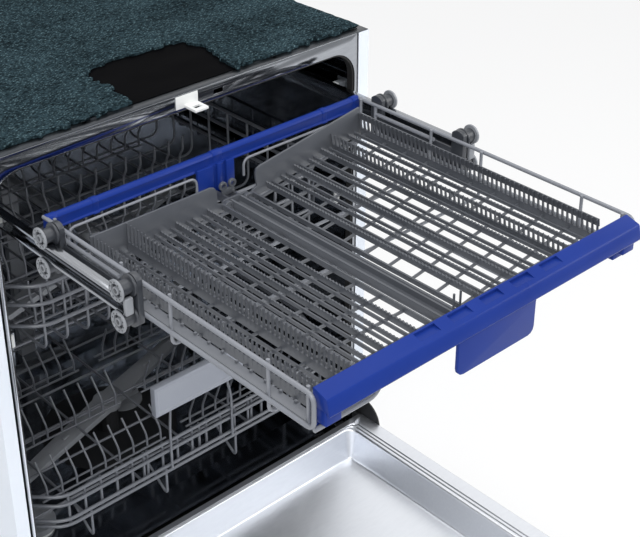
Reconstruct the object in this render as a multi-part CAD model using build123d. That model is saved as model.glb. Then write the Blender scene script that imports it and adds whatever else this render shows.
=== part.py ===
from build123d import *
import os

# Built-in dishwasher, door open and cutlery rack pulled out. Millimetres, +Z up.
# Pieces are placed with X = 0 on the centre line, Y = 0 on the front frame and the door towards -Y.
# The finished model is moved so that its origin is the middle of its footprint on the floor.

# Cabinet
width = 598.0
height = 815.0
cabinet_depth = 520.0
sheet = 1.0
foot_height = 28.0
foot_radius = 20.0
foot_stem = 6.0
foot_inset = 45.0
base_height = 92.0
base_wall = 3.0
base_front = 54.0
panel_bottom = 40.0
side_strip = 18.0
strip_gap = 3.0
strip_bottom = 218.0
frame_side = 4.0
frame_above = 21.0
frame_bottom = 190.0
crossbar_depth = 28.0
crossbar_hole_spacing = 286.0
crossbar_hole = 3.0
kick_inset = 37.0
felt_proud = 3.0
felt_gap = 5.0
bitumen = 2.5
pocket_clearance = 0.5

# Tub
tub_depth = 488.0
tub_corner = 38.0
sill_height = 185.5
track_width = 28.0
floor_drop = 18.0
press_draft = 10.0
gasket_thick = 2.5
gasket_depth = 10.0
running = 0.06

# Wash system
hub_place = 250.0
sump_radius = 110.0
floor_hole = 103.0
hub_radius = 16.0
hub_height = 40.0
arm_pin = 8.0
arm_length = 208.0
arm_width = 36.0
arm_thick = 13.0
filter_place = (55.0, 292.0)
filter_radius = 31.0
filter_depth = 76.0
well_wall = 8.0
pump_radius = 36.0
drain_radius = 28.0
spigot_radius = 10.0
inlet_radius = 13.2
hose_room = 12.0
hose_stub = 24.0
salt_place = (-205.0, 130.0)
salt_radius = 25.0
pipe_half = 13.0
pipe_thick = 12.0

# Door
door_gap = 1.5
hinge_forward = 8.0
pin_radius = 5.0
door_side_gap = 7.0
door_thick = 56.0
door_top_gap = 5.0
door_foot = 130.0
recess_depth = 47.0
recess_rim = 36.0
recess_back = 20.0
recess_head = 35.0
recess_corner = 33.0
strip_thick = 28.0
button_size = (20.0, 10.0)
button_depth = 8.0
button_travel = 1.5
button_count = 2
button_pitch = 34.0
button_inset = 122.0
cover_radius = 36.0
front_hole = 2.5
front_hole_spacing = (460.0, 400.0)
dispenser_size = (150.0, 130.0, 12.0)
dispenser_height = 510.0

# Cutlery rack
rack_reach = 493.0
rack_length = 455.0
rack_drop = 44.0
rack_depth = 58.0
rack_side = 38.0
rack_wire = 5.0
side_strip_size = (20.0, 3.0)
post_wire = 4.0
post_places = (18.0, 142.0, 224.0, 373.0, 428.0)
loop_setback = 12.0
loop_rear = 38.0
bar_section = (22.0, 20.0)
bar_drop = 16.0
bar_slope = 5.5
bar_side_gap = 2.5
bar_clip = (20.0, 19.0, 18.0)
clip_tongue = (8.0, 11.0)
pocket_row = (-92.0, 92.0)
pocket_count = 5
pocket_size = (28.0, 10.0, 3.0)
tab_half = 58.0
tab_drop = 42.0
tab_thick = 4.0
tab_corner = 9.0
rear_bar_section = (12.0, 17.0)
rear_bar_wall = 3.0

# Rack rails and wheels
rail_wall_gap = 13.0
rail_width = 10.0
rail_height = 20.0
rail_skin = 1.2
rail_length = 462.0
rail_drop = 19.0
rail_overhang = 4.0
cap_length = 6.0
wheel_flange = 12.5
wheel_groove = 8.2
wheel_rim = 3.0
groove_play = 1.5
tread_play = 0.3
wheel_pin = 3.0
carrier_thick = 7.0
carrier_half = 12.0
carrier_web = 3.0
side_play = 0.8
wheel_setback = 39.0
wheel_spacing = 140.0
guide_places = (35.0, 214.0)
guide_length = 24.0
guide_play = 0.4
guide_stem = 4.0

# Cutlery grids
grid_tilt = 8.7
beam_half = 9.0
pivot_offset = 15.0
pivot_pin = 3.0
pivot_boss = 6.0
grid_gap = 29.0
grid_setback = 28.0
grid_thick = 10.0
grid_rib = 2.6
grid_ribs = 9
grid_crosses = 5
cross_rib = 3.0
ridge_height = 8.0
comb_thick = 3.0
comb_foot = 12.0
comb_height = 28.0
comb_pitch = 7.0
wall_height = 38.0

# Baskets
rail_wire = 5.0
mesh_wire = 4.0
basket_back = 26.0
basket_margin = 20.0
upper_floor = 520.0
upper_rim = 618.0
upper_front = 22.0
upper_rail_gap = 7.0
upper_rail_level = 562.0
upper_guide_places = (32.0, 78.0)
upper_arm_drop = 28.0
lower_floor = 250.0
lower_rim = 332.0
lower_front_rim = 306.0
lower_front = 14.0
lower_side_gap = 12.0
tine_height = 62.0
bent_tines = ((48.0, 24.0), (62.0, -17.0))
lower_wheel = 18.0
lower_wheel_width = 10.0
lower_wheel_insets = (61.0, 57.0)
lower_pin = 4.0
wheel_clearance = 0.5
handle_half = 75.0
handle_height = 46.0
handle_thick = 10.0
handle_lift = 52.0
stand_place = 48.0

# Places that follow from the sizes above
half = width / 2
panel_inner = half - sheet
kick_half = half - kick_inset
opening_half = half - side_strip - strip_gap - frame_side
crossbar_top = height - felt_proud
frame_top = crossbar_top - sheet
opening_top = frame_top - frame_above
tub_roof = opening_top + sheet
base_top = foot_height + base_height
base_floor = foot_height + base_wall
floor_level = sill_height - floor_drop
floor_under = floor_level - sheet
rim_level = sill_height - door_gap
hinge_y = -hinge_forward
hinge_z = rim_level + door_gap + hinge_y
door_bottom = rim_level - door_thick
door_half = half - door_side_gap
door_top = height - door_top_gap
recess_half = door_half - recess_rim
recess_top = door_top - recess_head
button_start = door_half - button_inset
hub_top = floor_under + hub_height
hub_at = (0.0, hub_place)

rail_outer = opening_half - rail_wall_gap
rail_inner = rail_outer - rail_width
wheel_inner = rail_inner - groove_play - wheel_rim
wheel_outer = rail_outer + groove_play + wheel_rim
wire_x = wheel_inner - side_play - carrier_thick - rack_wire / 2
rack_front = -rack_reach
rack_back = rack_front + rack_length
top_wire = opening_top - rack_drop
rail_level = top_wire - rail_drop
wheel_offset = rail_height / 2 + tread_play + wheel_groove
wheel_back_y = rack_back - wheel_setback
wheel_front_y = wheel_back_y - wheel_spacing
rail_front = wheel_front_y - rail_overhang
cross_level = top_wire - rack_depth
side_level = top_wire - rack_side
bar_end = wire_x - rack_wire / 2 - bar_side_gap
post_x = wire_x - (rack_wire + post_wire) / 2
strip_outer = post_x - post_wire / 2
loop_front = rack_front + loop_setback
clip_back = loop_front + rack_wire + clip_tongue[0]
bar_back = rack_front + bar_section[0]
bar_low = top_wire - bar_drop
rear_bar_front = rack_back - rear_bar_section[0]
rear_bar_top = top_wire + rack_wire / 2

grid_low = cross_level + post_wire / 2 + tread_play
grid_top = grid_low + grid_thick
grid_back = rear_bar_front - rear_bar_wall - side_play - grid_setback
grid_front = bar_back + side_play + rear_bar_wall
grid_inner = pivot_offset + pivot_boss + side_play
grid_outer = wire_x - grid_gap
pivot_level = grid_low + pivot_boss

upper_rail_outer = opening_half - upper_rail_gap
upper_rail_inner = upper_rail_outer - rail_width
upper_half = upper_rail_inner - rail_wire / 2
lower_half = opening_half - lower_side_gap
basket_rear = tub_depth - basket_back
lower_axle = sill_height + wheel_clearance + lower_wheel
lower_wheel_places = (lower_front + lower_wheel_insets[0], basket_rear - lower_wheel_insets[1])


def open_y(closed_height):
    """Where a height on the closed door lies when the door is down."""
    return hinge_y - (closed_height - hinge_z)


door_tip = open_y(door_top)
door_heel = open_y(door_foot)
rim_back = hinge_y + hinge_forward / 2


def block(x, y, z):
    """Box between three pairs of limits."""
    middle = [(low + high) / 2 for low, high in (x, y, z)]
    return Pos(*middle) * Box(*[high - low for low, high in (x, y, z)])


def prism(axis, sketch, span):
    """Sketch drawn in (Y, Z), (X, Z) or (X, Y), extruded along X, Y or Z between two limits."""
    low, high = span
    frames = {
        "X": Plane(origin=(low, 0, 0), x_dir=(0, 1, 0), z_dir=(1, 0, 0)),
        "Y": Plane(origin=(0, high, 0), x_dir=(1, 0, 0), z_dir=(0, -1, 0)),
        "Z": Plane(origin=(0, 0, low)),
    }
    return extrude(frames[axis] * sketch, amount=high - low)


def cylinder(axis, at, radius, span):
    """True cylinder along one axis, at its other two coordinates."""
    return prism(axis, Pos(*at) * Circle(radius), span)


def drum(axis, at, radius, span, sides=16):
    """Round piece kept light with flat sides, its corners on the radius."""
    return prism(axis, Pos(*at) * RegularPolygon(radius, sides), span)


def socket(axis, at, radius, span, sides=16):
    """Hole with flat sides that lie on the radius, so that a drum can turn in it."""
    return prism(axis, Pos(*at) * RegularPolygon(radius, sides, major_radius=False), span)


def outline(points):
    """Closed flat shape through points."""
    return make_face(Polyline(*points, close=True))


def rod(start, end, across):
    """Straight wire of square section, its flats square to the axes."""
    low = [min(a, b) for a, b in zip(start, end)]
    high = [max(a, b) for a, b in zip(start, end)]
    spans = [(a, b) if b > a else (a - across / 2, b + across / 2) for a, b in zip(low, high)]
    return block(*spans)


def joined(pieces):
    """One solid from pieces that touch or overlap."""
    return pieces[0].fuse(*pieces[1:]).clean()


def flipped(shape):
    """The same piece on the other side of the machine."""
    return mirror(shape, about=Plane.YZ)


def both(shape):
    """Left and right copies of a piece drawn on the +X side."""
    return [shape, flipped(shape)]


def spaced(low, high, count):
    """Even places from low to high."""
    step = (high - low) / (count - 1)
    return [low + step * i for i in range(count)]


def arch(half_width, top, bottom, radius):
    """Upright opening with rounded top corners, drawn in (X, Z)."""
    shape = Pos(0, (top + bottom) / 2) * Rectangle(2 * half_width, top - bottom)
    return fillet(shape.vertices().group_by(Axis.Y)[-1], radius)


def pressed_pan(rim_x, rim_y, rim, pan_half, pan_y, depth, corner):
    """Sheet with a flat rim and a drafted recess pressed down into it."""
    middle = (pan_y[0] + pan_y[1]) / 2
    length = pan_y[1] - pan_y[0]
    top = Plane(origin=(0, middle, rim), x_dir=(1, 0, 0), z_dir=(0, 0, -1))

    def hollow(grow, deep):
        mouth = Rectangle(2 * (pan_half + grow), length + 2 * grow)
        if corner:
            mouth = RectangleRounded(2 * (pan_half + grow), length + 2 * grow, corner + grow)
        return extrude(top * mouth, amount=deep, taper=press_draft)

    plate = block((-rim_x, rim_x), rim_y, (rim - sheet, rim))
    return plate + hollow(sheet, depth + sheet) - hollow(0, depth)


def c_rail(inner, outer, y, level):
    """Rolled C rail, open towards the tub wall."""
    low, high = level - rail_height / 2, level + rail_height / 2
    bar = block((inner, outer), y, (low, high))
    return bar - block((inner + rail_skin, outer), y, (low + rail_skin, high - rail_skin))


def rail_guides(inner, outer, places, level):
    """Glide blocks in a C rail, on stems from the tub wall."""
    reach = rail_height / 2 - rail_skin - guide_play
    guides = []
    for place in places:
        glide = block(
            (inner + rail_skin + guide_play, outer - guide_play),
            (place - guide_length / 2, place + guide_length / 2),
            (level - reach, level + reach),
        )
        stem = block(
            (outer - guide_play, opening_half),
            (place - guide_stem, place + guide_stem),
            (level - guide_stem, level + guide_stem),
        )
        guides += both(glide + stem)
    return guides


def base_tray():
    """Moulded tray that holds the wash system, with four posts that carry the tub."""
    rear = cabinet_depth - 2 * sheet
    tray = block((-panel_inner, panel_inner), (base_front, rear), (foot_height, base_top))
    tray -= block(
        (base_wall - panel_inner, panel_inner - base_wall),
        (base_front + base_wall, rear - base_wall),
        (base_floor, base_top),
    )
    wide = (opening_half - track_width + 2 * base_wall, opening_half - base_wall)
    for place in (base_front + base_wall, tub_depth - 2 * track_width):
        for post in both(block(wide, (place, place + track_width), (base_floor, sill_height - sheet))):
            tray += post
    span = (rear - 2 * base_wall, rear + base_wall)
    for x, z, radius in ((inlet_x, inlet_z, inlet_radius), (spigot_x, spigot_z, spigot_radius)):
        room = radius + hose_room
        tray -= block((x - room, x + room), span, (z - room, z + room))
    return tray


def levelling_feet():
    """Four screw feet under the corners of the base."""
    feet = []
    for place in (base_front + foot_inset, cabinet_depth - foot_inset):
        at = (half - foot_inset, place)
        pad = drum("Z", at, foot_radius, (0, foot_height / 4), 12)
        feet += both(pad + drum("Z", at, foot_stem, (foot_height / 4, foot_height), 6))
    return feet


def side_panel():
    """Painted side sheet with its front strip turned in."""
    plate = block((panel_inner, half), (0, cabinet_depth), (panel_bottom, frame_top))
    strip = block((half - side_strip, half), (0, sheet), (strip_bottom, frame_top))
    return plate + strip


def front_frame():
    """Stainless flange round the tub opening, with a slot beside the striker."""
    plate = arch(opening_half + frame_side, frame_top, frame_bottom, sheet)
    hole = arch(opening_half, opening_top, frame_bottom - sheet, tub_corner)
    slot = Pos(striker_half + frame_above, opening_top + frame_above * 0.45)
    slot *= Rectangle(frame_above * 0.7, frame_above * 0.3)
    return prism("Y", plate - hole - slot, (0, sheet))


def top_crossbar():
    """Galvanised strip over the front edge, with fixing holes and two notches."""
    reach = panel_inner
    bar = block((-reach, reach), (0, crossbar_depth), (frame_top, crossbar_top))
    lip = opening_half - tub_corner
    bar += block((-lip, lip), (crossbar_depth - sheet, crossbar_depth),
                 (tub_roof, crossbar_top))
    for side in (-1, 1):
        at = (side * crossbar_hole_spacing / 2, crossbar_depth * 0.4)
        bar -= cylinder("Z", at, crossbar_hole, (frame_top, crossbar_top))
    for place in (-0.75, -0.24):
        notch = crossbar_depth / 4
        bar -= block((place * reach - notch, place * reach + notch),
                     (crossbar_depth - notch, crossbar_depth), (frame_top - notch, crossbar_top))
    return bar


def felt_blanket():
    """Fibre blanket laid on the tub roof, torn open at its front edge."""
    front, back = crossbar_depth, tub_depth
    reach = panel_inner - felt_gap
    torn = [
        (-64, 0), (-82, 24), (-66, 46), (-84, 92), (-40, 118), (-8, 142), (38, 126), (62, 132),
        (94, 96), (72, 52), (84, 30), (66, 0),
    ]
    sheet_shape = Pos(0, (front + back) / 2) * Rectangle(2 * reach, back - front)
    tear = outline([(x, front + y) for x, y in torn])
    return prism("Z", sheet_shape - tear, (tub_roof + bitumen, height))


def bitumen_sheet():
    """Heavy damping sheet stuck on the tub roof."""
    reach = opening_half - tub_corner / 2
    return block((-reach, reach), (crossbar_depth, tub_depth), (tub_roof, tub_roof + bitumen))


def tub_wrapper():
    """Sides and roof of the tub, bent from one sheet."""
    outer = arch(opening_half + sheet, tub_roof, floor_under, tub_corner + sheet)
    inner = arch(opening_half, opening_top, floor_under - sheet, tub_corner)
    return prism("Y", outer - inner, (sheet, tub_depth))


def tub_back():
    """Back sheet of the tub with three pairs of stiffening beads."""
    plate = arch(opening_half + sheet, tub_roof, floor_under, tub_corner + sheet)
    back = prism("Y", plate, (tub_depth, tub_depth + sheet))
    for level in spaced(lower_rim, upper_rim, 3):
        bead = block((opening_half * 0.15, opening_half * 0.85), (tub_depth + sheet, tub_depth + 3 * sheet),
                     (level - tub_corner / 4, level + tub_corner / 4))
        back = joined([back] + both(bead))
    return back


def tub_floor():
    """Pressed floor with wheel tracks, a hole for the sump and one for the salt neck."""
    inner = (2 * track_width - base_wall, tub_depth - track_width)
    pan = pressed_pan(opening_half, (sheet, tub_depth), sill_height, opening_half - track_width,
                      inner, floor_drop, 0)
    span = (floor_under, sill_height)
    pan -= socket("Z", hub_at, floor_hole, span)
    return pan - socket("Z", salt_place, salt_radius + pocket_clearance, span)


def door_gasket():
    """Rubber seal round the inside of the opening."""
    outer = arch(opening_half, opening_top, sill_height, tub_corner)
    inner = arch(opening_half - gasket_thick, opening_top - gasket_thick, sill_height - sheet,
                 tub_corner - gasket_thick)
    return prism("Y", outer - inner, (2 * sheet, 2 * sheet + gasket_depth))


def latch_striker():
    """Moulded striker screwed to the frame, with a square eye for the door latch."""
    plate = block((-striker_half, striker_half), (-sheet, 0), (striker_z, frame_top - sheet))
    level = (striker_z, striker_z + striker_thick)
    tongue = block((-striker_half / 2, striker_half / 2), (-striker_reach, -sheet), level)
    eye = block((-striker_half / 4, striker_half / 4), (-striker_reach * 0.75, -striker_reach * 0.4), level)
    return plate + tongue - eye


def hinge_brackets():
    """Steel plates on the base's front corners, each with a hinge pin."""
    plate_in = panel_inner - base_wall
    heel = block((kick_half + base_wall, panel_inner), (base_front - base_wall, base_front),
                 (base_top - hinge_tab, base_top))
    profile = outline([
        (hinge_y - pin_radius * 3, hinge_z + pin_radius * 3), (base_front, hinge_z),
        (base_front, base_top - hinge_tab), (base_front / 2, base_top - hinge_tab),
        (hinge_y - pin_radius * 3, hinge_z - pin_radius * 3),
    ])
    plate = prism("X", profile, (plate_in, panel_inner))
    pin = drum("X", (hinge_y, hinge_z), pin_radius, (arm_plate[0], plate_in))
    return both(joined([plate, heel, pin]))


def hinge_covers():
    """Round black covers between the brackets and the door's sides."""
    disc = drum("X", (hinge_y, hinge_z), cover_radius, cover_span, 18)
    return both(disc - drum("X", (hinge_y, hinge_z), pin_radius, cover_span))


def kick_plate():
    """Plate that closes the base under the door."""
    return block((-kick_half, kick_half), (base_front - sheet, base_front), (foot_height, base_top))


def counterweight():
    """Cast block that keeps the machine from tipping with the door down."""
    back = cabinet_depth - 2 * sheet - base_wall
    level = (base_floor, base_floor + weight_height)
    return block((-half / 2, half / 2), (back - weight_depth, back), level)


def sump():
    """Moulded sump: flange under the floor, filter well and the spray hub."""
    flange = drum("Z", hub_at, sump_radius, (floor_under - well_wall, floor_under), 24)
    well = drum("Z", filter_place, filter_radius + well_wall, (well_bottom - well_wall, floor_under))
    hub = drum("Z", hub_at, hub_radius, (floor_under, hub_top))
    pin = drum("Z", hub_at, arm_pin, (hub_top, hub_top + arm_thick * 0.7))
    bore = cylinder("Z", filter_place, filter_radius + pocket_clearance, (well_bottom, floor_under))
    return joined([flange, well, hub, pin]) - bore


def filter_cup():
    """Cylindrical filter with a grip bar, turned to lock it in the well."""
    x, y = filter_place
    cup = drum("Z", filter_place, filter_radius, (well_bottom, floor_under))
    bar = block((x - filter_radius + base_wall, x + filter_radius - base_wall),
                (y - base_wall, y + base_wall), (floor_under, floor_under + filter_grip))
    return cup + bar


def circulation_pump():
    """Wash pump, its inlet neck seated on the filter well."""
    x, y = filter_place
    level = floor_under - well_wall - base_wall - pump_radius
    body = drum("X", (y, level), pump_radius, (-half * 0.6, -half * 0.25))
    motor = drum("X", (y, level), pump_radius * 0.7, (-half * 0.8, -half * 0.6))
    neck = drum("X", (y, level), pump_radius * 0.4, (-half * 0.25, x), 8)
    neck -= drum("Z", filter_place, filter_radius + well_wall, (0, floor_under))
    return joined([body, motor, neck])


def drain_pump():
    """Drain pump with its hose spigot through the back of the base."""
    x, y = filter_place
    ends = (spigot_x - drain_radius, spigot_x + drain_radius)
    body = drum("X", (y, spigot_z), drain_radius, ends)
    neck = drum("X", (y, spigot_z), spigot_radius, (x, ends[0]), 8)
    neck -= drum("Z", filter_place, filter_radius + well_wall, (0, floor_under))
    pipe = drum("Y", (spigot_x, spigot_z), spigot_radius * 0.8, (y, cabinet_depth - hose_stub), 8)
    spigot = cylinder("Y", (spigot_x, spigot_z), spigot_radius, (cabinet_depth - hose_stub, cabinet_depth))
    return joined([body, neck, pipe, spigot])


def inlet_valve():
    """Water inlet valve with a stub for the supply hose."""
    reach = inlet_radius * 1.5
    rear = cabinet_depth - hose_stub
    body = block((inlet_x - reach, inlet_x + reach), (rear - 2 * reach, rear),
                 (base_floor, inlet_z + reach))
    return body + cylinder("Y", (inlet_x, inlet_z), inlet_radius, (rear, cabinet_depth))


def water_softener():
    """Softener tank with its salt neck up through the tub floor."""
    x, y = salt_place
    edge = panel_inner - 2 * base_wall
    tank = block((-edge, x + salt_radius), (y - 1.6 * salt_radius, y + 4 * salt_radius),
                 (base_floor, base_top))
    neck = drum("Z", salt_place, salt_radius, (base_top, salt_top))
    return tank + neck


def salt_cap():
    """Screw cap of the salt neck with a grip bar."""
    x, y = salt_place
    top = salt_top + 3 * base_wall
    cap = cylinder("Z", salt_place, salt_radius + base_wall, (salt_top + tread_play, top))
    bar = block((x - salt_radius, x + salt_radius), (y - base_wall, y + base_wall),
                (top, top + 2 * base_wall))
    return cap + bar


def feed_pipe():
    """Flat water pipe up the tub's back and along its roof, with a roof outlet and a dock."""
    front = tub_depth - pipe_thick
    riser = block((-pipe_half, pipe_half), (front, tub_depth), (sill_height, opening_top))
    run = block((-pipe_half, pipe_half), (hub_place - pipe_half, front),
                (opening_top - pipe_thick, opening_top))
    rose = drum("Z", hub_at, 2 * pipe_half, (opening_top - 1.8 * pipe_thick, opening_top - pipe_thick), 12)
    dock = drum("Y", (0, dock_level), dock_radius, (dock_front, front), 8)
    return joined([riser, run, rose, dock])


def spray_arm(low, pin_below):
    """Two-bladed spray arm with raised nozzles and a bore for the hub pin."""
    high = low + arm_thick
    tip = arm_width * 0.3
    turned = Pos(*hub_at) * Rot(0, 0, 20)
    blade = outline([
        (-arm_length, -tip), (0, -arm_width / 2), (arm_length, -tip),
        (arm_length, tip), (0, arm_width / 2), (-arm_length, tip),
    ])
    arm = prism("Z", turned * blade, (low + arm_thick * 0.2, high - arm_thick * 0.15))
    arm += drum("Z", hub_at, arm_width * 0.6, (low, high), 12)
    for place in (-0.85, -0.5, 0.5, 0.85):
        nozzle = turned * Pos(place * arm_length, 0) * Rectangle(tip, tip / 2)
        arm += prism("Z", nozzle, (high - arm_thick * 0.15, high))
    bore = (low, low + arm_thick * 0.75) if pin_below else (high - arm_thick * 0.75, high)
    return arm - cylinder("Z", hub_at, arm_pin + running, bore)


def upper_feed_tube():
    """Tube under the upper basket, from the dock at the back to the upper arm's hub."""
    tube = drum("Y", (0, dock_level), dock_radius, (hub_place, dock_front - door_gap), 8)
    hub = drum("Z", hub_at, hub_radius, (dock_level - dock_radius - sheet, upper_floor - mesh_wire / 2), 12)
    pin = drum("Z", hub_at, arm_pin, (upper_arm_low + arm_thick * 0.3, dock_level - dock_radius))
    return joined([tube, hub, pin])


def basket_wall(axis, at, inward, span, low, rails, places):
    """Flat wire wall: uprights at the places, rails of heavier wire welded on outside them."""
    offset = at + inward * (rail_wire + mesh_wire) / 2
    wires = [((at, span[0], level), (at, span[1], level), rail_wire) for level in rails]
    wires += [((offset, place, low), (offset, place, max(rails)), mesh_wire) for place in places]
    if axis == "Y":
        wires = [((b, a, c), (e, d, f), across) for (a, b, c), (d, e, f), across in wires]
    return [rod(start, end, across) for start, end, across in wires]


def basket_floor(x, y, floor, across_places, along_places):
    """Wire floor: cross wires below, long wires welded on top of them."""
    wires = [rod((-x, place, floor), (x, place, floor), mesh_wire) for place in across_places]
    level = floor + mesh_wire
    return wires + [rod((place, y[0], level), (place, y[1], level), mesh_wire) for place in along_places]


def tine_row(y, floor, x_places, left, right):
    """Cross wire with a row of tines welded on it, each half with its own height and lean."""
    level = floor + 2 * mesh_wire
    side = mesh_wire / 2
    reach = x_places[-1] + mesh_wire
    wires = [rod((-reach, y, level), (reach, y, level), mesh_wire)]
    for x in x_places:
        tall, lean = left if x < 0 else right
        tine = outline([
            (y - side, level + side), (y + side, level + side),
            (y + side + lean, level + tall), (y - side + lean, level + tall),
        ])
        wires.append(prism("X", tine, (x - side, x + side)))
    return wires


def upper_basket():
    """Upper basket: wire floor, four walls and rows of straight tines."""
    across = spaced(upper_front + basket_margin, basket_rear - basket_margin, 6)
    along = spaced(2 * basket_margin - upper_half, upper_half - 2 * basket_margin, 7)
    inner = upper_half - rail_wire / 2 - mesh_wire
    ends = (upper_front + rail_wire / 2 + mesh_wire, basket_rear - rail_wire / 2 - mesh_wire)
    rails = (upper_rail_level, upper_rim)
    low = upper_floor - mesh_wire / 2
    side = (upper_front + rail_wire / 2, basket_rear - rail_wire / 2)
    reach = (-upper_half - rail_wire / 2, upper_half + rail_wire / 2)
    wires = basket_floor(inner, ends, upper_floor, across, along)
    for wire in basket_wall("X", upper_half, -1, side, low, rails, across):
        wires += both(wire)
    wires += basket_wall("Y", upper_front, 1, reach, low, rails, along)
    wires += basket_wall("Y", basket_rear, -1, reach, low, rails, along)
    places = spaced(3 * basket_margin - upper_half, upper_half - 3 * basket_margin, 8)
    for y in spaced(upper_front + 3 * basket_margin, basket_rear - 3 * basket_margin, 4):
        wires += tine_row(y, upper_floor, places, (tine_height, 0), (tine_height, 0))
    return wires


def upper_rails():
    """C rails along the upper basket's sides."""
    return both(c_rail(upper_rail_inner, upper_rail_outer, (upper_front, basket_rear), upper_rail_level))


def lower_basket():
    """Lower basket: wire floor, walls, bent tines, and foot loops and handle stands on the front."""
    across = spaced(lower_front + basket_margin, basket_rear - basket_margin, 6)
    along = spaced(2 * basket_margin - lower_half, lower_half - 2 * basket_margin, 8)
    inner = lower_half - rail_wire / 2 - mesh_wire
    ends = (lower_front + rail_wire / 2 + mesh_wire, basket_rear - rail_wire / 2 - mesh_wire)
    low = lower_floor - mesh_wire / 2
    side = (lower_front + rail_wire / 2, basket_rear - rail_wire / 2)
    reach = (-lower_half - rail_wire / 2, lower_half + rail_wire / 2)
    bottom = lower_floor + 2 * rail_wire
    wires = basket_floor(inner, ends, lower_floor, across, along)
    for wire in basket_wall("X", lower_half, -1, side, low, (bottom, lower_rim), across):
        wires += both(wire)
    wires += basket_wall("Y", basket_rear, -1, reach, low, (bottom, lower_rim), along)
    front_rails = (bottom, lower_front_rim - 3 * rail_wire, lower_front_rim)
    wires += basket_wall("Y", lower_front, 1, reach, low, front_rails, along)
    for x in (-stand_place, stand_place):
        wires.append(rod((x, lower_front, lower_front_rim + rail_wire / 2),
                         (x, lower_front, lower_front_rim + handle_lift), rail_wire))
    wires += foot_loops(bottom - rail_wire / 2)
    places = spaced(3 * basket_margin - lower_half, lower_half - 3 * basket_margin, 8)
    for y in spaced(lower_front + 3 * basket_margin, basket_rear - 3 * basket_margin, 4):
        wires += tine_row(y, lower_floor, places, *bent_tines)
    return wires


def foot_loops(top):
    """V-shaped loops that hang from the lower basket's front rail and reach back under it."""
    y, side = lower_front, mesh_wire / 2
    dip, back = lower_floor - 2 * lower_wheel, lower_front + 2.5 * lower_wheel
    rise = lower_floor - mesh_wire
    loop = outline([
        (y - side, top), (y - side, dip), (y + side, dip), (back, rise), (back - mesh_wire, rise),
        (y + side, dip + 2 * mesh_wire), (y + side, top),
    ])
    places = spaced(-lower_half * 0.7, lower_half * 0.7, 4)
    return [prism("X", loop, (x - side, x + side)) for x in places]


def lower_handle():
    """Bare moulded handle plate on the lower basket's front stands, bevelled all round."""
    low = lower_front_rim + handle_lift
    plate = block((-handle_half, handle_half),
                  (lower_front - handle_thick / 2, lower_front + handle_thick / 2),
                  (low, low + handle_height))
    front = plate.faces().sort_by(Axis.Y)[0]
    return chamfer(front.edges(), handle_thick / 4)


def lower_wheel_carriers():
    """Clips under the lower basket's sides, with axle pins for its wheels."""
    wheel_in = lower_half - lower_wheel_width / 2
    carriers = []
    top = lower_floor - mesh_wire / 2
    side, drop = lower_wheel * 0.4, lower_wheel * 0.3
    for y in lower_wheel_places:
        edge = [
            Polyline((y + side, lower_axle - drop), (y + side, top), (y - side, top),
                     (y - side, lower_axle - drop)),
            ThreePointArc((y - side, lower_axle - drop), (y, lower_axle - lower_wheel / 2),
                          (y + side, lower_axle - drop)),
        ]
        arm = prism("X", make_face(edge), (wheel_in - carrier_thick - side_play, wheel_in - side_play))
        pin = drum("X", (y, lower_axle), lower_pin,
                   (wheel_in - side_play, wheel_in + lower_wheel_width + side_play), 8)
        carriers += both(arm + pin)
    return carriers


def lower_wheels(y):
    """A coaxial pair of lower basket wheels."""
    wheel_in = lower_half - lower_wheel_width / 2
    span = (wheel_in, wheel_in + lower_wheel_width)
    wheel = drum("X", (y, lower_axle), lower_wheel, span, 16)
    return both(wheel - socket("X", (y, lower_axle), lower_pin + running, span, 12))


def rack_wires():
    """Wire frame of the cutlery rack: a loop and a flat strip each side, cross wires bent up as posts."""
    posts = [rack_back - place for place in post_places]
    wide, thick = side_strip_size
    gauge = rack_wire / 2
    low = side_level - gauge
    front, back = loop_front + gauge, rack_back - loop_rear - gauge
    sides = [
        rod((wire_x, loop_front, top_wire), (wire_x, rack_back, top_wire), rack_wire),
        rod((wire_x, loop_front, side_level), (wire_x, back + gauge, side_level), rack_wire),
        rod((bar_end, front, bar_low + rack_wire), (wire_x - gauge, front, bar_low + rack_wire), rack_wire),
        block((strip_outer - wide, strip_outer), (clip_back, back + gauge), (low - thick, low)),
    ]
    sides += [rod((wire_x, y, side_level + gauge), (wire_x, y, top_wire - gauge), rack_wire)
              for y in (front, back)]
    sides += [rod((post_x, y, cross_level - post_wire / 2), (post_x, y, top_wire + gauge), post_wire)
              for y in posts]
    wires = [copy for side in sides for copy in both(side)]
    wires.append(rod((gauge - wire_x, front, side_level), (wire_x - gauge, front, side_level), rack_wire))
    wires += [rod((-strip_outer, y, cross_level), (strip_outer, y, cross_level), post_wire) for y in posts]
    under = cross_level - post_wire
    ends = (posts[-1] - post_wire, posts[0] + post_wire)
    return wires + [rod((x, ends[0], under), (x, ends[1], under), post_wire)
                    for x in (-wire_x / 2, 0, wire_x / 2)]


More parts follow.
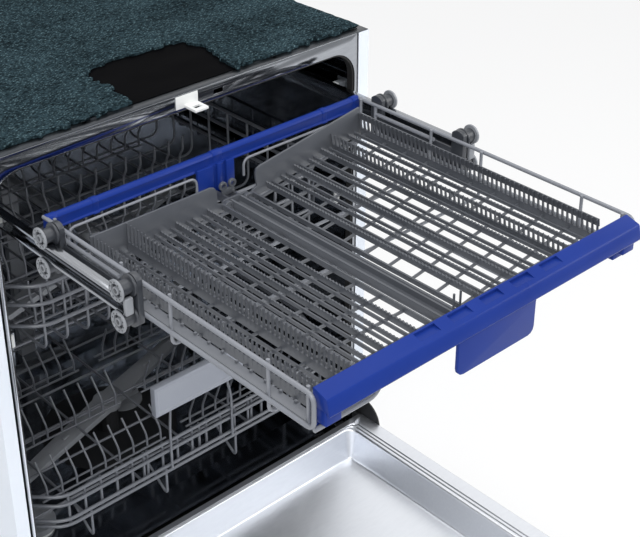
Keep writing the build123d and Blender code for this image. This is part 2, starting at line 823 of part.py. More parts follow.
def rack_front_bar():
    """Moulded handle bar across the rack's front: grip tab, row of pockets, and a clip at each end."""
    top = bar_low + bar_section[1]
    lean = bar_section[1] / 7
    profile = outline([
        (bar_back, bar_low), (bar_back, top), (rack_front + lean, top - bar_slope),
        (rack_front, bar_low + lean), (rack_front + lean, bar_low),
    ])
    bar = prism("X", fillet(profile.vertices().sort_by(Axis.X)[0], lean * 0.8), (-bar_end, bar_end))
    wide, deep, sunk = pocket_size
    back = bar_back - sunk
    for x in spaced(*pocket_row, pocket_count):
        bar -= block((x - wide / 2, x + wide / 2), (back - deep, back), (top - bar_slope - sunk, top))
    tab = Pos(0, bar_low - tab_drop / 2) * Rectangle(2 * tab_half, tab_drop)
    tab = fillet(tab.vertices().group_by(Axis.Y)[0], tab_corner)
    pieces = [bar, prism("Y", tab, (rack_front + lean, rack_front + lean + tab_thick))]
    long, deep, tall = bar_clip
    span = (strip_outer - long, strip_outer)
    thick, drop = clip_tongue
    low = bar_low - tall
    pieces += both(block(span, (clip_back - deep, clip_back), (low, bar_low)))
    pieces += both(block(span, (clip_back - thick + side_play, clip_back), (low - drop, low)))
    return pieces


def rack_rear_bar():
    """Angle-section bar across the rack's back, with the bracket that holds the beam."""
    low, high = rear_bar_top - rear_bar_section[1], rear_bar_top
    reach = wire_x - rack_wire / 2
    top = block((-reach, reach), (rear_bar_front, rack_back), (high - rear_bar_wall, high))
    web = block((-reach, reach), (rear_bar_front, rear_bar_front + rear_bar_wall), (low, high))
    bracket = block((-pivot_offset, pivot_offset), (rear_bar_front, rear_bar_front + rear_bar_wall),
                    (grid_low, high))
    return joined([top, web, bracket])


def rack_centre_beam():
    """Channel beam between the two bars, with pivot pins for both grids at each end."""
    wall = rear_bar_wall
    spine = outline([
        (-beam_half, grid_low), (beam_half, grid_low), (beam_half, grid_top), (beam_half - wall, grid_top),
        (beam_half - wall, grid_low + wall), (wall - beam_half, grid_low + wall),
        (wall - beam_half, grid_top), (-beam_half, grid_top),
    ])
    reach = pivot_offset + pivot_boss
    eye = Pos(0, pivot_level) * SlotOverall(2 * reach, 2 * pivot_boss)
    eye_back = grid_back + rear_bar_wall
    pieces = [prism("Y", spine, (grid_front, rear_bar_front)), prism("Y", eye, (grid_back, eye_back))]
    pieces.append(block((-reach, reach), (bar_back, grid_front), (grid_low, grid_low + 2 * pivot_boss)))
    for x in (-pivot_offset, pivot_offset):
        for y in ((grid_back - pivot_boss, grid_back), (grid_front, grid_front + pivot_boss)):
            pieces.append(drum("Y", (x, pivot_level), pivot_pin, y, 8))
    return joined(pieces)


def rib_places():
    """Middle of each long rib of a grid."""
    return spaced(grid_inner + grid_rib / 2, grid_outer - grid_rib / 2, grid_ribs)


def grid_base():
    """Moulded floor of one grid: long ribs on cross ribs, some raised to ridges, and two pivot rings."""
    length = (grid_front + side_play, grid_back - side_play)
    floor = grid_low + cross_rib
    ridge = (length[0], length[1] - rear_bar_wall)
    pieces = []
    for number, x in enumerate(rib_places()):
        rib = (x - grid_rib / 2, x + grid_rib / 2)
        pieces.append(block(rib, length, (floor, grid_top)))
        if number in (1, 3, 5):
            pieces.append(block(rib, ridge, (grid_top, grid_top + ridge_height)))
    for y in spaced(length[0] + grid_rib / 2, length[1] - grid_rib / 2, grid_crosses):
        cross = (y - grid_rib / 2, y + grid_rib / 2)
        pieces.append(block((grid_inner, grid_outer), cross, (grid_low, floor)))
    ring_length = pivot_boss - side_play
    for y in ((length[1] - ring_length, length[1]), (length[0], length[0] + ring_length)):
        ring = drum("Y", (pivot_offset, pivot_level), pivot_boss, y, 12)
        ring += block((pivot_offset, grid_inner), y, (pivot_level, pivot_level + pivot_boss * 0.6))
        pieces.append(ring - socket("Y", (pivot_offset, pivot_level), pivot_pin + running, y, 12))
    return pieces


def comb_wall(x):
    """Row of pointed teeth along the grid, with V-shaped gaps."""
    length = (grid_front + 2 * side_play, grid_back - 2 * side_play - rear_bar_wall)
    count = int((length[1] - length[0]) / comb_pitch)
    pitch = (length[1] - length[0]) / count
    teeth = []
    for i in range(count):
        start = length[0] + i * pitch
        teeth.append((start + pitch * 0.4, grid_top + comb_height))
        teeth.append((start + pitch * 0.9, grid_top + comb_foot))
    shape = outline([(length[0], grid_top)] + teeth + [(length[1], grid_top)])
    return prism("X", shape, (x - comb_thick / 2, x + comb_thick / 2))


def grid_combs():
    """Rear wall and the two comb rows that stand on one grid."""
    wall_y = grid_back - side_play
    wall = block((grid_inner, grid_outer), (wall_y - rear_bar_wall, wall_y),
                 (grid_top, grid_low + wall_height))
    return [wall] + [comb_wall(x) for x in (rib_places()[-1], rib_places()[-3])]


def tilted(shape):
    """A right-hand piece raised about the right grid's pivots."""
    axis = Axis((pivot_offset, 0, pivot_level), (0, -1, 0))
    return shape.rotate(axis, grid_tilt)


def rack_rails():
    """The two rolled rails that carry the rack, each with its front end closed."""
    rail = c_rail(rail_inner, rail_outer, (rail_front, rail_front + rail_length), rail_level)
    reach = rail_height / 2
    cap = block((rail_inner, rail_outer), (rail_front - cap_length, rail_front),
                (rail_level - reach, rail_level + reach))
    return both(rail + cap)


def wheel_carriers():
    """Plates on the rack's sides, rounded about an upper and a lower wheel pin, with a web between."""
    plate_in = wire_x + rack_wire / 2
    plate_out = plate_in + carrier_thick
    carriers = []
    for y in (wheel_back_y, wheel_front_y):
        low, high = (rail_level - wheel_offset, rail_level + wheel_offset)
        side = carrier_half * 0.8
        rise = (carrier_half ** 2 - side ** 2) ** 0.5
        edge = [
            Line((y - side, low - rise), (y - side, high + rise)),
            ThreePointArc((y - side, high + rise), (y, high + carrier_half), (y + side, high + rise)),
            Line((y + side, high + rise), (y + side, low - rise)),
            ThreePointArc((y + side, low - rise), (y, low - carrier_half), (y - side, low - rise)),
        ]
        plate = prism("X", make_face(edge), (plate_in, plate_out))
        for z in (low, high):
            plate += drum("X", (y, z), wheel_pin, (plate_out, wheel_outer), 8)
        carriers += both(plate)
    web = block((plate_in, plate_in + carrier_web), (wheel_front_y + side, wheel_back_y - side),
                (low, rail_level + rail_height / 4))
    return carriers + both(web)


def spool_wheels(y, z):
    """A coaxial pair of flanged spool wheels that run on the rack's rails."""
    wheel = drum("X", (y, z), wheel_groove, (wheel_inner, wheel_outer), 14)
    for span in ((wheel_inner, wheel_inner + wheel_rim), (wheel_outer - wheel_rim, wheel_outer)):
        wheel += drum("X", (y, z), wheel_flange, span, 14)
    return both(wheel - socket("X", (y, z), wheel_pin + running, (wheel_inner, wheel_outer), 12))


def door_liner():
    """Pressed stainless inside of the door, with a slot for the striker."""
    recess = (open_y(recess_top), -recess_back)
    pan = pressed_pan(door_half, (door_tip, rim_back), rim_level, recess_half, recess, recess_depth,
                      recess_corner)
    return pan - block((-latch_half, latch_half), latch_slot, (rim_level - sheet, rim_level))


def door_panel():
    """Outer steel skin of the door with turned-up sides and holes for a furniture front."""
    low, high = door_bottom, door_bottom + sheet
    skin = block((-door_half, door_half), (door_tip, door_heel), (low, high))
    for side in both(block((door_half - sheet, door_half), (door_tip, rim_back - door_hinge_room),
                           (low, rim_level - sheet))):
        skin += side
    middle = (door_tip + door_heel) / 2
    for x in (-front_hole_spacing[0] / 2, front_hole_spacing[0] / 2):
        for y in (-front_hole_spacing[1] / 2, front_hole_spacing[1] / 2):
            skin -= cylinder("Z", (x, middle + y), front_hole, (low, high))
    return skin


def hinge_arms():
    """Steel arms inside the door's sides that turn on the hinge pins."""
    reach = 3 * pin_radius
    arm = block(arm_plate, (rim_back - 4 * door_hinge_room, hinge_y + reach),
                (door_bottom + sheet, hinge_z + reach / 3))
    return both(arm - cylinder("X", (hinge_y, hinge_z), pin_radius + running, arm_plate))


def button_places():
    """Middle of each push button along the control strip."""
    return [button_start + i * button_pitch for i in range(button_count)]


def control_strip():
    """Control box along the door's top edge, with button wells and a latch pocket."""
    box = block((sheet - door_half, door_half - sheet), (door_tip, door_tip + strip_thick),
                (door_bottom + sheet, rim_level - sheet))
    box -= block((-latch_half, latch_half), latch_span, (latch_low, rim_level))
    for x in button_places():
        box -= button_shape(x, pocket_clearance, button_depth + 2 * button_travel)
    return box


def button_shape(x, grow, depth):
    """Plug of a push button, or with grow its well."""
    wide, tall = button_size[0] / 2 + grow, button_size[1] / 2 + grow
    level = door_bottom + door_thick / 2
    return block((x - wide, x + wide), (door_tip, door_tip + depth), (level - tall, level + tall))


def door_latch():
    """Latch block in the control strip, open for the striker."""
    body = block((-latch_half, latch_half), latch_span, (latch_low, rim_level - sheet))
    return body - block((base_wall - latch_half, latch_half - base_wall), latch_slot,
                        (latch_low + base_wall, rim_level))


def dispenser_limits():
    """X and Y limits of the dispenser on the door."""
    long, deep, tall = dispenser_size
    middle = open_y(dispenser_height)
    return (-long / 2, long / 2), (middle - deep / 2, middle + deep / 2)


def dispenser():
    """Detergent and rinse aid dispenser on the liner, with lugs for the lid."""
    x, y = dispenser_limits()
    low = rim_level - recess_depth
    high = low + dispenser_size[2]
    body = chamfer(block(x, y, (low, high)).edges().filter_by(Axis.Z), dispenser_size[2] / 2)
    body -= block(well_x, well_y, (low + base_wall, high))
    body -= cylinder("Z", cap_at, cap_stem + running, (high - cap_stem, high))
    for lug in lid_lugs:
        body += block((lid_hinge[0] - base_wall, lid_hinge[0] + base_wall), lug,
                      (high, lid_hinge[1] + base_wall))
    return body + drum("Y", lid_hinge, lid_pin, (lid_lugs[0][0], lid_lugs[1][1]), 8)


def detergent_lid():
    """Lid over the detergent well, turning on the dispenser's pin."""
    thick = base_wall / 2
    x, z = lid_hinge
    knuckle_y = (lid_lugs[0][1] + side_play, lid_lugs[1][0] - side_play)
    plate = block((x, well_x[1] + base_wall), knuckle_y, (z - thick, z + thick))
    knuckle = drum("Y", lid_hinge, base_wall, knuckle_y, 8)
    return plate + knuckle - cylinder("Y", lid_hinge, lid_pin + running, knuckle_y)


def rinse_cap():
    """Round rinse aid cap with a grip bar."""
    x, y = cap_at
    high = rim_level - recess_depth + dispenser_size[2]
    top = high + cap_radius / 3
    cap = drum("Z", cap_at, cap_radius, (high + tread_play, top), 20)
    cap += drum("Z", cap_at, cap_stem, (high - cap_stem / 2, high + tread_play), 12)
    bar = block((x - cap_radius * 0.8, x + cap_radius * 0.8), (y - base_wall / 2, y + base_wall / 2),
                (top, top + cap_radius / 6))
    return cap + bar


# Places shared by several pieces
inlet_x, inlet_z = -0.75 * half, base_floor + 2.5 * inlet_radius
spigot_x, spigot_z = 0.5 * half, base_floor + 2 * drain_radius
weight_depth, weight_height = 80.0, 40.0
well_bottom = floor_under - filter_depth
filter_grip = 8.0
salt_top = floor_level + 2 * base_wall
hinge_tab = 20.0
arm_plate = (door_half - sheet - base_wall * 2, door_half - sheet)
cover_span = (door_half + pocket_clearance, panel_inner - base_wall)
door_hinge_room = 26.0
striker_half, striker_reach, striker_thick = 22.0, 24.0, 4.0
striker_z = opening_top + 3.0
latch_half = 16.0
latch_mid = open_y(striker_z + striker_thick / 2)
latch_slot = (latch_mid - striker_thick - door_gap, latch_mid + striker_thick + door_gap)
latch_span = (latch_slot[0] - base_wall, latch_slot[1] + base_wall)
latch_low = rim_level - striker_reach - 2 * base_wall
upper_arm_low = upper_floor - upper_arm_drop - arm_thick
dock_radius = 9.0
dock_level = upper_floor - mesh_wire / 2 - dock_radius
dock_front = basket_rear + rail_wire / 2 + door_gap

lid_pin = 1.5
dispenser_x, dispenser_y = dispenser_limits()
dispenser_high = rim_level - recess_depth + dispenser_size[2]
lid_hinge = (dispenser_x[0] + 3 * base_wall, dispenser_high + base_wall + tread_play)
well_x = (lid_hinge[0] + 2 * base_wall, dispenser_x[0] + dispenser_size[0] * 0.55)
well_y = (dispenser_y[0] + 5 * base_wall, dispenser_y[1] - 5 * base_wall)
lid_lugs = (
    (well_y[0] - 3 * base_wall, well_y[0] - 2 * base_wall),
    (well_y[1] + 2 * base_wall, well_y[1] + 3 * base_wall),
)
cap_radius, cap_stem = 20.0, 8.0
cap_at = (dispenser_x[1] - cap_radius - 2 * base_wall, (dispenser_y[0] + dispenser_y[1]) / 2)

nodes = {
    "base_tray": base_tray(),
    "levelling_feet": levelling_feet(),
    "side_panel_right": side_panel(),
    "side_panel_left": flipped(side_panel()),
    "front_frame": front_frame(),
    "top_crossbar": top_crossbar(),
    "felt_blanket": felt_blanket(),
    "bitumen_sheet": bitumen_sheet(),
    "tub_wrapper": tub_wrapper(),
    "tub_back": tub_back(),
    "tub_floor": tub_floor(),
    "door_gasket": door_gasket(),
    "latch_striker": latch_striker(),
    "hinge_brackets": hinge_brackets(),
    "hinge_covers": hinge_covers(),
    "kick_plate": kick_plate(),
    "counterweight": counterweight(),
    "sump": sump(),
    "filter_cup": filter_cup(),
    "circulation_pump": circulation_pump(),
    "drain_pump": drain_pump(),
    "inlet_valve": inlet_valve(),
    "water_softener": water_softener(),
    "salt_cap": salt_cap(),
    "feed_pipe": feed_pipe(),
    "rail_guides": rail_guides(rail_inner, rail_outer, guide_places, rail_level)
    + rail_guides(upper_rail_inner, upper_rail_outer, upper_guide_places, upper_rail_level),
    "lower_spray_arm": spray_arm(hub_top + tread_play, True),
    "upper_spray_arm": spray_arm(upper_arm_low, False),
    "upper_feed_tube": upper_feed_tube(),
    "upper_basket": upper_basket(),
    "upper_rails": upper_rails(),
    "lower_basket": lower_basket(),
    "lower_basket_handle": lower_handle(),
    "lower_wheel_carriers": lower_wheel_carriers(),
    "lower_wheels_front": lower_wheels(lower_wheel_places[0]),
    "lower_wheels_rear": lower_wheels(lower_wheel_places[1]),
    "rack_wires": rack_wires(),
    "rack_front_bar": rack_front_bar(),
    "rack_rear_bar": rack_rear_bar(),
    "rack_centre_beam": rack_centre_beam(),
    "left_grid": [flipped(piece) for piece in grid_base()],
    "left_combs": [flipped(piece) for piece in grid_combs()],
    "right_grid": [tilted(piece) for piece in grid_base()],
    "right_combs": [tilted(piece) for piece in grid_combs()],
    "rack_rails": rack_rails(),
    "wheel_carriers": wheel_carriers(),
    "rack_wheels_upper_rear": spool_wheels(wheel_back_y, rail_level + wheel_offset),
    "rack_wheels_lower_rear": spool_wheels(wheel_back_y, rail_level - wheel_offset),
    "rack_wheels_upper_front": spool_wheels(wheel_front_y, rail_level + wheel_offset),
    "rack_wheels_lower_front": spool_wheels(wheel_front_y, rail_level - wheel_offset),
    "door_liner": door_liner(),
    "door_panel": door_panel(),
    "hinge_arms": hinge_arms(),
    "control_strip": control_strip(),
    "door_latch": door_latch(),
    "dispenser": dispenser(),
    "detergent_lid": detergent_lid(),
    "rinse_cap": rinse_cap(),
}
for number, place in enumerate(button_places(), 1):
    nodes[f"button_{number}"] = button_shape(place, 0, button_depth)

origin_shift = -(door_tip + cabinet_depth) / 2
os.makedirs("parts", exist_ok=True)
for name, shape in nodes.items():
    pieces = shape if isinstance(shape, list) else [shape]
    solids = [solid for piece in pieces for solid in piece.solids()]
    export_step(Pos(0, origin_shift, 0) * Compound(solids), f"parts/{name}.step")
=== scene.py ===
import bpy
import math
from mathutils import Matrix, Vector, noise


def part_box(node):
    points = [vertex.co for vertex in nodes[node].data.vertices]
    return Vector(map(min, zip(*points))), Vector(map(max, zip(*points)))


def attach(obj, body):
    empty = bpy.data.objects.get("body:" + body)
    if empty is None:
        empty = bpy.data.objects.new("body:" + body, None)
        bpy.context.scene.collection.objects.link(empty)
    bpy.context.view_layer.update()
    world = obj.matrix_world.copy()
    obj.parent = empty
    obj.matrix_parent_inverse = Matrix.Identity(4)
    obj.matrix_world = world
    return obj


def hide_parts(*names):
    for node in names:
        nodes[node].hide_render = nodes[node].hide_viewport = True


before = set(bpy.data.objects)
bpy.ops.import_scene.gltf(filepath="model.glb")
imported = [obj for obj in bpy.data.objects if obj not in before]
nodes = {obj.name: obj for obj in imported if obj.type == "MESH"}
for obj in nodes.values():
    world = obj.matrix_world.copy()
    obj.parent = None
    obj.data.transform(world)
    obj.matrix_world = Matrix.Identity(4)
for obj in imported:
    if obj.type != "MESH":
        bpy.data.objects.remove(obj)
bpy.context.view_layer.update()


# Base tray, sump and pumps. Black polypropylene mouldings under the tub: the tray carries the machine, the
# others screw and clip into it. Their skin has the fine grain of a spark-eroded tool.
def linear(code):
    """sRGB hex as the linear colour that a shader takes."""
    values = [int(code[i:i + 2], 16) / 255 for i in (1, 3, 5)]
    return tuple(v / 12.92 if v <= 0.04045 else ((v + 0.055) / 1.055) ** 2.4 for v in values) + (1.0,)


def add_node(material, kind, inputs, **settings):
    """One shader node: settings are its properties, inputs its numbers or the sockets linked to it."""
    made = material.node_tree.nodes.new(kind)
    for name, value in settings.items():
        setattr(made, name, value)
    for name, value in inputs.items():
        if isinstance(value, bpy.types.NodeSocket):
            material.node_tree.links.new(value, made.inputs[name])
        else:
            made.inputs[name].default_value = value
    return made


def blank_finish(name, **numbers):
    """New material with its shader; returns the material, the shader and its object coordinates."""
    material = bpy.data.materials.new(name)
    material.use_nodes = True
    shader = material.node_tree.nodes["Principled BSDF"]
    for socket, value in numbers.items():
        shader.inputs[socket.replace("_", " ")].default_value = value
    place = add_node(material, "ShaderNodeTexCoord", {}).outputs["Object"]
    return material, shader, place


def join_up(material, shader, **sockets):
    """Link sockets into a shader."""
    for name, socket in sockets.items():
        material.node_tree.links.new(socket, shader.inputs[name.replace("_", " ")])


def coat(material, *names):
    """Give CAD nodes one material."""
    for name in names:
        data = nodes[name].data
        data.materials.clear()
        data.materials.append(material)


def moulded(name, dark, light, rough, grain_mm=1.2, bump=0.06, **numbers):
    """Injection-moulded plastic: a spark-eroded grain, drawn coarser than its real 0.1 mm so that it shows,
    and a faint mottling of the colour."""
    material, shader, place = blank_finish(name, **numbers)
    mottle_mm = 71.43
    cloud = add_node(material, "ShaderNodeTexNoise", {"Vector": place, "Scale": 1000 / mottle_mm,
                                                      "Detail": 4.0})
    tint = add_node(material, "ShaderNodeMix", {0: cloud.outputs["Fac"], 6: linear(dark), 7: linear(light)},
                    data_type="RGBA")
    grain = add_node(material, "ShaderNodeTexNoise", {"Vector": place, "Scale": 1000 / grain_mm,
                                                      "Detail": 2.0})
    gloss = add_node(material, "ShaderNodeMapRange", {"Value": cloud.outputs["Fac"], "To Min": rough - 0.06,
                                                      "To Max": rough + 0.08})
    relief = add_node(material, "ShaderNodeBump", {"Height": grain.outputs["Fac"], "Strength": bump,
                                                   "Distance": 0.0004})
    join_up(material, shader, Base_Color=tint.outputs[2], Roughness=gloss.outputs["Result"],
            Normal=relief.outputs["Normal"])
    return material


# black polypropylene, as moulded: a dull black with a fine grain
black_polypropylene = moulded("black_polypropylene", "#101113", "#1c1d20", 0.5)
coat(black_polypropylene, "base_tray", "sump", "circulation_pump", "drain_pump")


# Levelling feet. Black polypropylene pads with a shank, wound up into the tray's corners to level the
# machine.
front_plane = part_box("front_frame")[0].y
weld_gap = 0.00001


def at(x, y, z):
    """Millimetres from the centre line, the front frame and the floor, as a point of the frame."""
    return Vector((x / 1000, y / 1000 + front_plane, z / 1000))


def mm(point):
    """A point of the frame as the millimetres that at() takes."""
    return point.x * 1000, (point.y - front_plane) * 1000, point.z * 1000


def active(piece):
    """Select one piece alone, for the operators."""
    bpy.ops.object.select_all(action="DESELECT")
    piece.select_set(True)
    bpy.context.view_layer.objects.active = piece
    return piece


def shaped(name, points, edges=(), faces=()):
    """New mesh object from points of the frame, selected alone."""
    data = bpy.data.meshes.new(name)
    data.from_pydata(points, edges, faces)
    piece = bpy.data.objects.new(name, data)
    bpy.context.collection.objects.link(piece)
    return active(piece)


def edited(piece, *steps):
    """Run mesh operators on the whole of a piece in edit mode."""
    active(piece)
    bpy.ops.object.mode_set(mode="EDIT")
    bpy.ops.mesh.select_all(action="SELECT")
    for step, settings in steps:
        step(**settings)
    bpy.ops.object.mode_set(mode="OBJECT")
    return piece


def applied(piece, kind, **settings):
    """Add one modifier to a piece and apply it."""
    active(piece)
    step = piece.modifiers.new("step", kind)
    for name, value in settings.items():
        setattr(step, name, value)
    bpy.ops.object.modifier_apply(modifier="step")


def smooth(piece, angle=35):
    """Shade a piece smooth, apart from edges sharper than an angle."""
    active(piece)
    bpy.ops.object.shade_smooth_by_angle(angle=math.radians(angle))
    return piece


def turned(name, profile, axis, place, steps):
    """Round piece spun from (along, radius) points in millimetres about an axis through a place."""
    points = [(along / 1000, 0, radius / 1000) for along, radius in profile]
    piece = shaped(name, points, [(i, i + 1) for i in range(len(points) - 1)])
    applied(piece, "SCREW", axis="X", steps=steps, render_steps=steps, use_merge_vertices=False)
    edited(piece, (bpy.ops.mesh.remove_doubles, {"threshold": weld_gap}),
           (bpy.ops.mesh.normals_make_consistent, {"inside": False}))
    turn = {"X": Matrix(), "Y": Matrix.Rotation(math.pi / 2, 4, "Z"),
            "Z": Matrix.Rotation(-math.pi / 2, 4, "Y")}
    piece.data.transform(Matrix.Translation(place) @ turn[axis])
    return smooth(piece)


def fused(pieces, name):
    """Join pieces into one mesh object."""
    bpy.ops.object.select_all(action="DESELECT")
    for piece in pieces:
        piece.select_set(True)
    bpy.context.view_layer.objects.active = pieces[0]
    bpy.ops.object.join()
    piece = bpy.context.object
    piece.name = name
    return piece


def fitted(piece, name, material, body, slot, *replaced):
    """Name a finished piece, give it its material and body, and the CAD nodes that it stands for."""
    piece.name = name
    piece.data.materials.clear()
    piece.data.materials.append(material)
    for face in piece.data.polygons:
        face.material_index = 0
    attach(piece, body)
    if replaced:
        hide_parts(*replaced)


foot_low, foot_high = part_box("levelling_feet")
foot_inset = 0.02
pad = [(0, 0), (0, 17), (1.5, 19.5), (5, 19.5), (7, 16), (9, 8.5), (15, 8), (15, 5.5), (28, 5.5), (28, 0)]
feet = []
for foot_x in (foot_low.x + foot_inset, foot_high.x - foot_inset):
    for foot_y in (foot_low.y + foot_inset, foot_high.y - foot_inset):
        feet.append(turned("foot", pad, "Z", Vector((foot_x, foot_y, 0)), steps=24))
fitted(fused(feet, "feet"), "screw_feet", black_polypropylene, "cabinet", "dark_plastic", "levelling_feet")


# Side panels and kick plate. Cold-rolled sheet, folded and coated white on the line, screwed to the tray and
# the front frame; the coat gives a faint orange-peel skin with a soft gloss.
def coated_sheet(name, dark, light, rough):
    """Polyester coat on steel: a nearly even colour, and the very shallow waves of a baked coat."""
    material, shader, place = blank_finish(name, IOR=1.48)
    cloud_mm, peel_mm = 166.67, 2.5
    cloud = add_node(material, "ShaderNodeTexNoise", {"Vector": place, "Scale": 1000 / cloud_mm,
                                                      "Detail": 3.0})
    tint = add_node(material, "ShaderNodeMix", {0: cloud.outputs["Fac"], 6: linear(dark), 7: linear(light)},
                    data_type="RGBA")
    peel = add_node(material, "ShaderNodeTexNoise", {"Vector": place, "Scale": 1000 / peel_mm, "Detail": 1.0})
    relief = add_node(material, "ShaderNodeBump", {"Height": peel.outputs["Fac"], "Strength": 0.05,
                                                   "Distance": 0.0003})
    gloss = add_node(material, "ShaderNodeMapRange", {"Value": cloud.outputs["Fac"], "To Min": rough,
                                                      "To Max": rough + 0.1})
    join_up(material, shader, Base_Color=tint.outputs[2], Roughness=gloss.outputs["Result"],
            Normal=relief.outputs["Normal"])
    return material


# white polyester coat on steel: even and softly glossy, a little cold
white_coat = coated_sheet("white_coated_sheet", "#dfe6ef", "#edf2fa", 0.3)
coat(white_coat, "side_panel_left", "side_panel_right", "kick_plate")


# Front frame. A strip of mirror-bright stainless folded round the tub's mouth and seam-welded to it; its
# edges are turned over, so they catch the light as thin lines.
def rolled_metal(name, dark, light, rough, grain, wave_mm=0.0):
    """Rolled metal: streaks vary its tone and gloss. Grain says how many times finer they are along each
    axis; real ones are a tenth of a millimetre wide, and these are coarser so that they show."""
    material, shader, place = blank_finish(name, Metallic=1.0)
    streak_mm, cloud_mm, buckle_mm = 16.667, 200, 111.11
    stretch = add_node(material, "ShaderNodeMapping", {"Vector": place, "Scale": grain})
    streak = add_node(material, "ShaderNodeTexNoise", {"Vector": stretch.outputs["Vector"],
                                                       "Scale": 1000 / streak_mm, "Detail": 2.0})
    cloud = add_node(material, "ShaderNodeTexNoise", {"Vector": place, "Scale": 1000 / cloud_mm,
                                                      "Detail": 3.0})
    tint = add_node(material, "ShaderNodeMix", {0: streak.outputs["Fac"], 6: linear(dark), 7: linear(light)},
                    data_type="RGBA")
    spread = add_node(material, "ShaderNodeMath", {0: streak.outputs["Fac"], 1: cloud.outputs["Fac"]},
                      operation="MULTIPLY")
    gloss = add_node(material, "ShaderNodeMapRange", {"Value": spread.outputs["Value"], "From Max": 0.5,
                                                      "To Min": rough * 0.85, "To Max": rough * 1.2})
    join_up(material, shader, Base_Color=tint.outputs[2], Roughness=gloss.outputs["Result"])
    if wave_mm:
        wave = add_node(material, "ShaderNodeTexNoise", {"Vector": place, "Scale": 1000 / buckle_mm,
                                                         "Detail": 1.0})
        relief = add_node(material, "ShaderNodeBump", {"Height": wave.outputs["Fac"], "Strength": 0.3,
                                                       "Distance": wave_mm / 1000})
        join_up(material, shader, Normal=relief.outputs["Normal"])
    return material


def rounded(piece, edge_mm, segments=2, angle=35):
    """Round a piece's edges."""
    applied(piece, "BEVEL", width=edge_mm / 1000, segments=segments, limit_method="ANGLE",
            angle_limit=math.radians(angle))
    return smooth(piece, angle)


def softened(node, edge_mm):
    """Copy of a CAD node with its triangles merged to flat faces and its edges rounded."""
    piece = bpy.data.objects.new(node + "_shape", nodes[node].data.copy())
    bpy.context.collection.objects.link(piece)
    edited(piece, (bpy.ops.mesh.customdata_custom_splitnormals_clear, {}),
           (bpy.ops.mesh.remove_doubles, {"threshold": weld_gap}),
           (bpy.ops.mesh.dissolve_limited, {"angle_limit": math.radians(1)}))
    return rounded(piece, edge_mm)


def eased(node, edge_mm, name, material, body, slot):
    """Show a CAD node by its own copy with rounded edges."""
    fitted(softened(node, edge_mm), name, material, body, slot, node)


# ferritic stainless, mirror rolled: sharp reflections with faint streaks
mirror_stainless = rolled_metal("mirror_stainless", "#8d9095", "#a1a4a9", 0.1, (1, 12, 12))
eased("front_frame", 0.4, "front_frame_fold", mirror_stainless, "cabinet", "stainless")


# Top crossbar. A folded strip of galvanised sheet screwed over the front frame's top edge; it ties the side
# panels together and has oval holes for the worktop's screws.
# galvanised sheet, dulled by the air: dark grey with a blurred shine
galvanised = rolled_metal("galvanised_sheet", "#3f4247", "#505459", 0.34, (2, 12, 12))
eased("top_crossbar", 0.5, "crossbar_fold", galvanised, "cabinet", "galvanised")


# Latch striker. A white ABS bracket screwed to the middle of the front frame: a plate, and a tongue with a
# window that the door's latch hooks into.
def slab(x, y, z):
    """Block between limits in millimetres."""
    low, high = at(x[0], y[0], z[0]), at(x[1], y[1], z[1])
    bpy.ops.object.select_all(action="DESELECT")
    bpy.ops.mesh.primitive_cube_add(size=1, location=(low + high) / 2)
    piece = bpy.context.object
    piece.scale = high - low
    bpy.ops.object.transform_apply(location=True, rotation=True, scale=True)
    return piece


def pierced(piece, punch):
    """Cut one piece out of another; the punch is used up."""
    applied(piece, "BOOLEAN", operation="DIFFERENCE", solver="EXACT", object=punch)
    bpy.data.objects.remove(punch)
    return piece


# white ABS, as moulded: a clean white with soft highlights
white_abs = moulded("white_abs", "#dcdedd", "#e9eae8", 0.35)
plate_z, tongue_z, through_z = (793, 809.5), (793.2, 796.8), (790, 800)
plate = rounded(slab((-22, 11), (-1.2, 0), plate_z), 0.4)
tongue = pierced(slab((-10, 10), (-23, -0.6), tongue_z), slab((-5, 5), (-17, -9), through_z))
fitted(fused([plate, rounded(tongue, 0.7)], "striker"), "striker_moulding", white_abs, "cabinet",
       "white_plastic", "latch_striker")


# Tub. Bright-annealed stainless: the wrapper makes sides and roof in one bend, back and floor are pressed and
# seam-welded into it. Its inside mirrors the racks with slow waves.
# austenitic stainless, bright annealed: a mirror with slow waves
tub_stainless = rolled_metal("bright_annealed_stainless", "#7f8389", "#9a9ea4", 0.1, (10, 1, 10), wave_mm=2.0)
coat(tub_stainless, "tub_wrapper", "tub_back", "tub_floor")


# Door gasket. A bulb of black rubber pushed into the groove round the tub's mouth; the shut door squeezes it,
# which keeps the water in.
# EPDM rubber, extruded: a soft, dull black
seal_rubber = moulded("black_seal_rubber", "#121213", "#1b1b1c", 0.6)
coat(seal_rubber, "door_gasket")


# Hinges and outer door panel. Zinc-plated steel: brackets screwed to the tray, arms that carry the door on
# pins, and the folded sheet that a furniture front is screwed to.
# zinc-plated steel: a pale grey with a broad shine
zinc = rolled_metal("zinc_plated_steel", "#8e9094", "#a9abaf", 0.38, (3, 3, 3))
coat(zinc, "hinge_arms", "hinge_brackets", "door_panel")


# Counterweight. A plain block of cast iron on the tray's floor, which keeps the machine from tipping when
# the door and racks are out.
# bare cast iron with its sand skin: rough, dull and nearly black
cast_iron = moulded("bare_cast_iron", "#2c2b2a", "#3a3836", 0.7, grain_mm=2.0, bump=0.3)
coat(cast_iron, "counterweight")


# Inlet valve, water softener, rail guides and door latch. White mouldings clipped into the tray, the tub's
# walls and the door's top edge.
coat(white_abs, "inlet_valve", "water_softener", "rail_guides", "door_latch")


# Filter cup, salt cap, feed pipe and the lower basket's wheel carriers. Light grey acetal mouldings inside
# the tub, turned or snapped into place by hand.
# light grey acetal, as moulded: waxy, with soft highlights
grey_acetal = moulded("light_grey_acetal", "#7c7f84", "#8e9196", 0.34)
coat(grey_acetal, "filter_cup", "salt_cap", "feed_pipe", "lower_wheel_carriers")


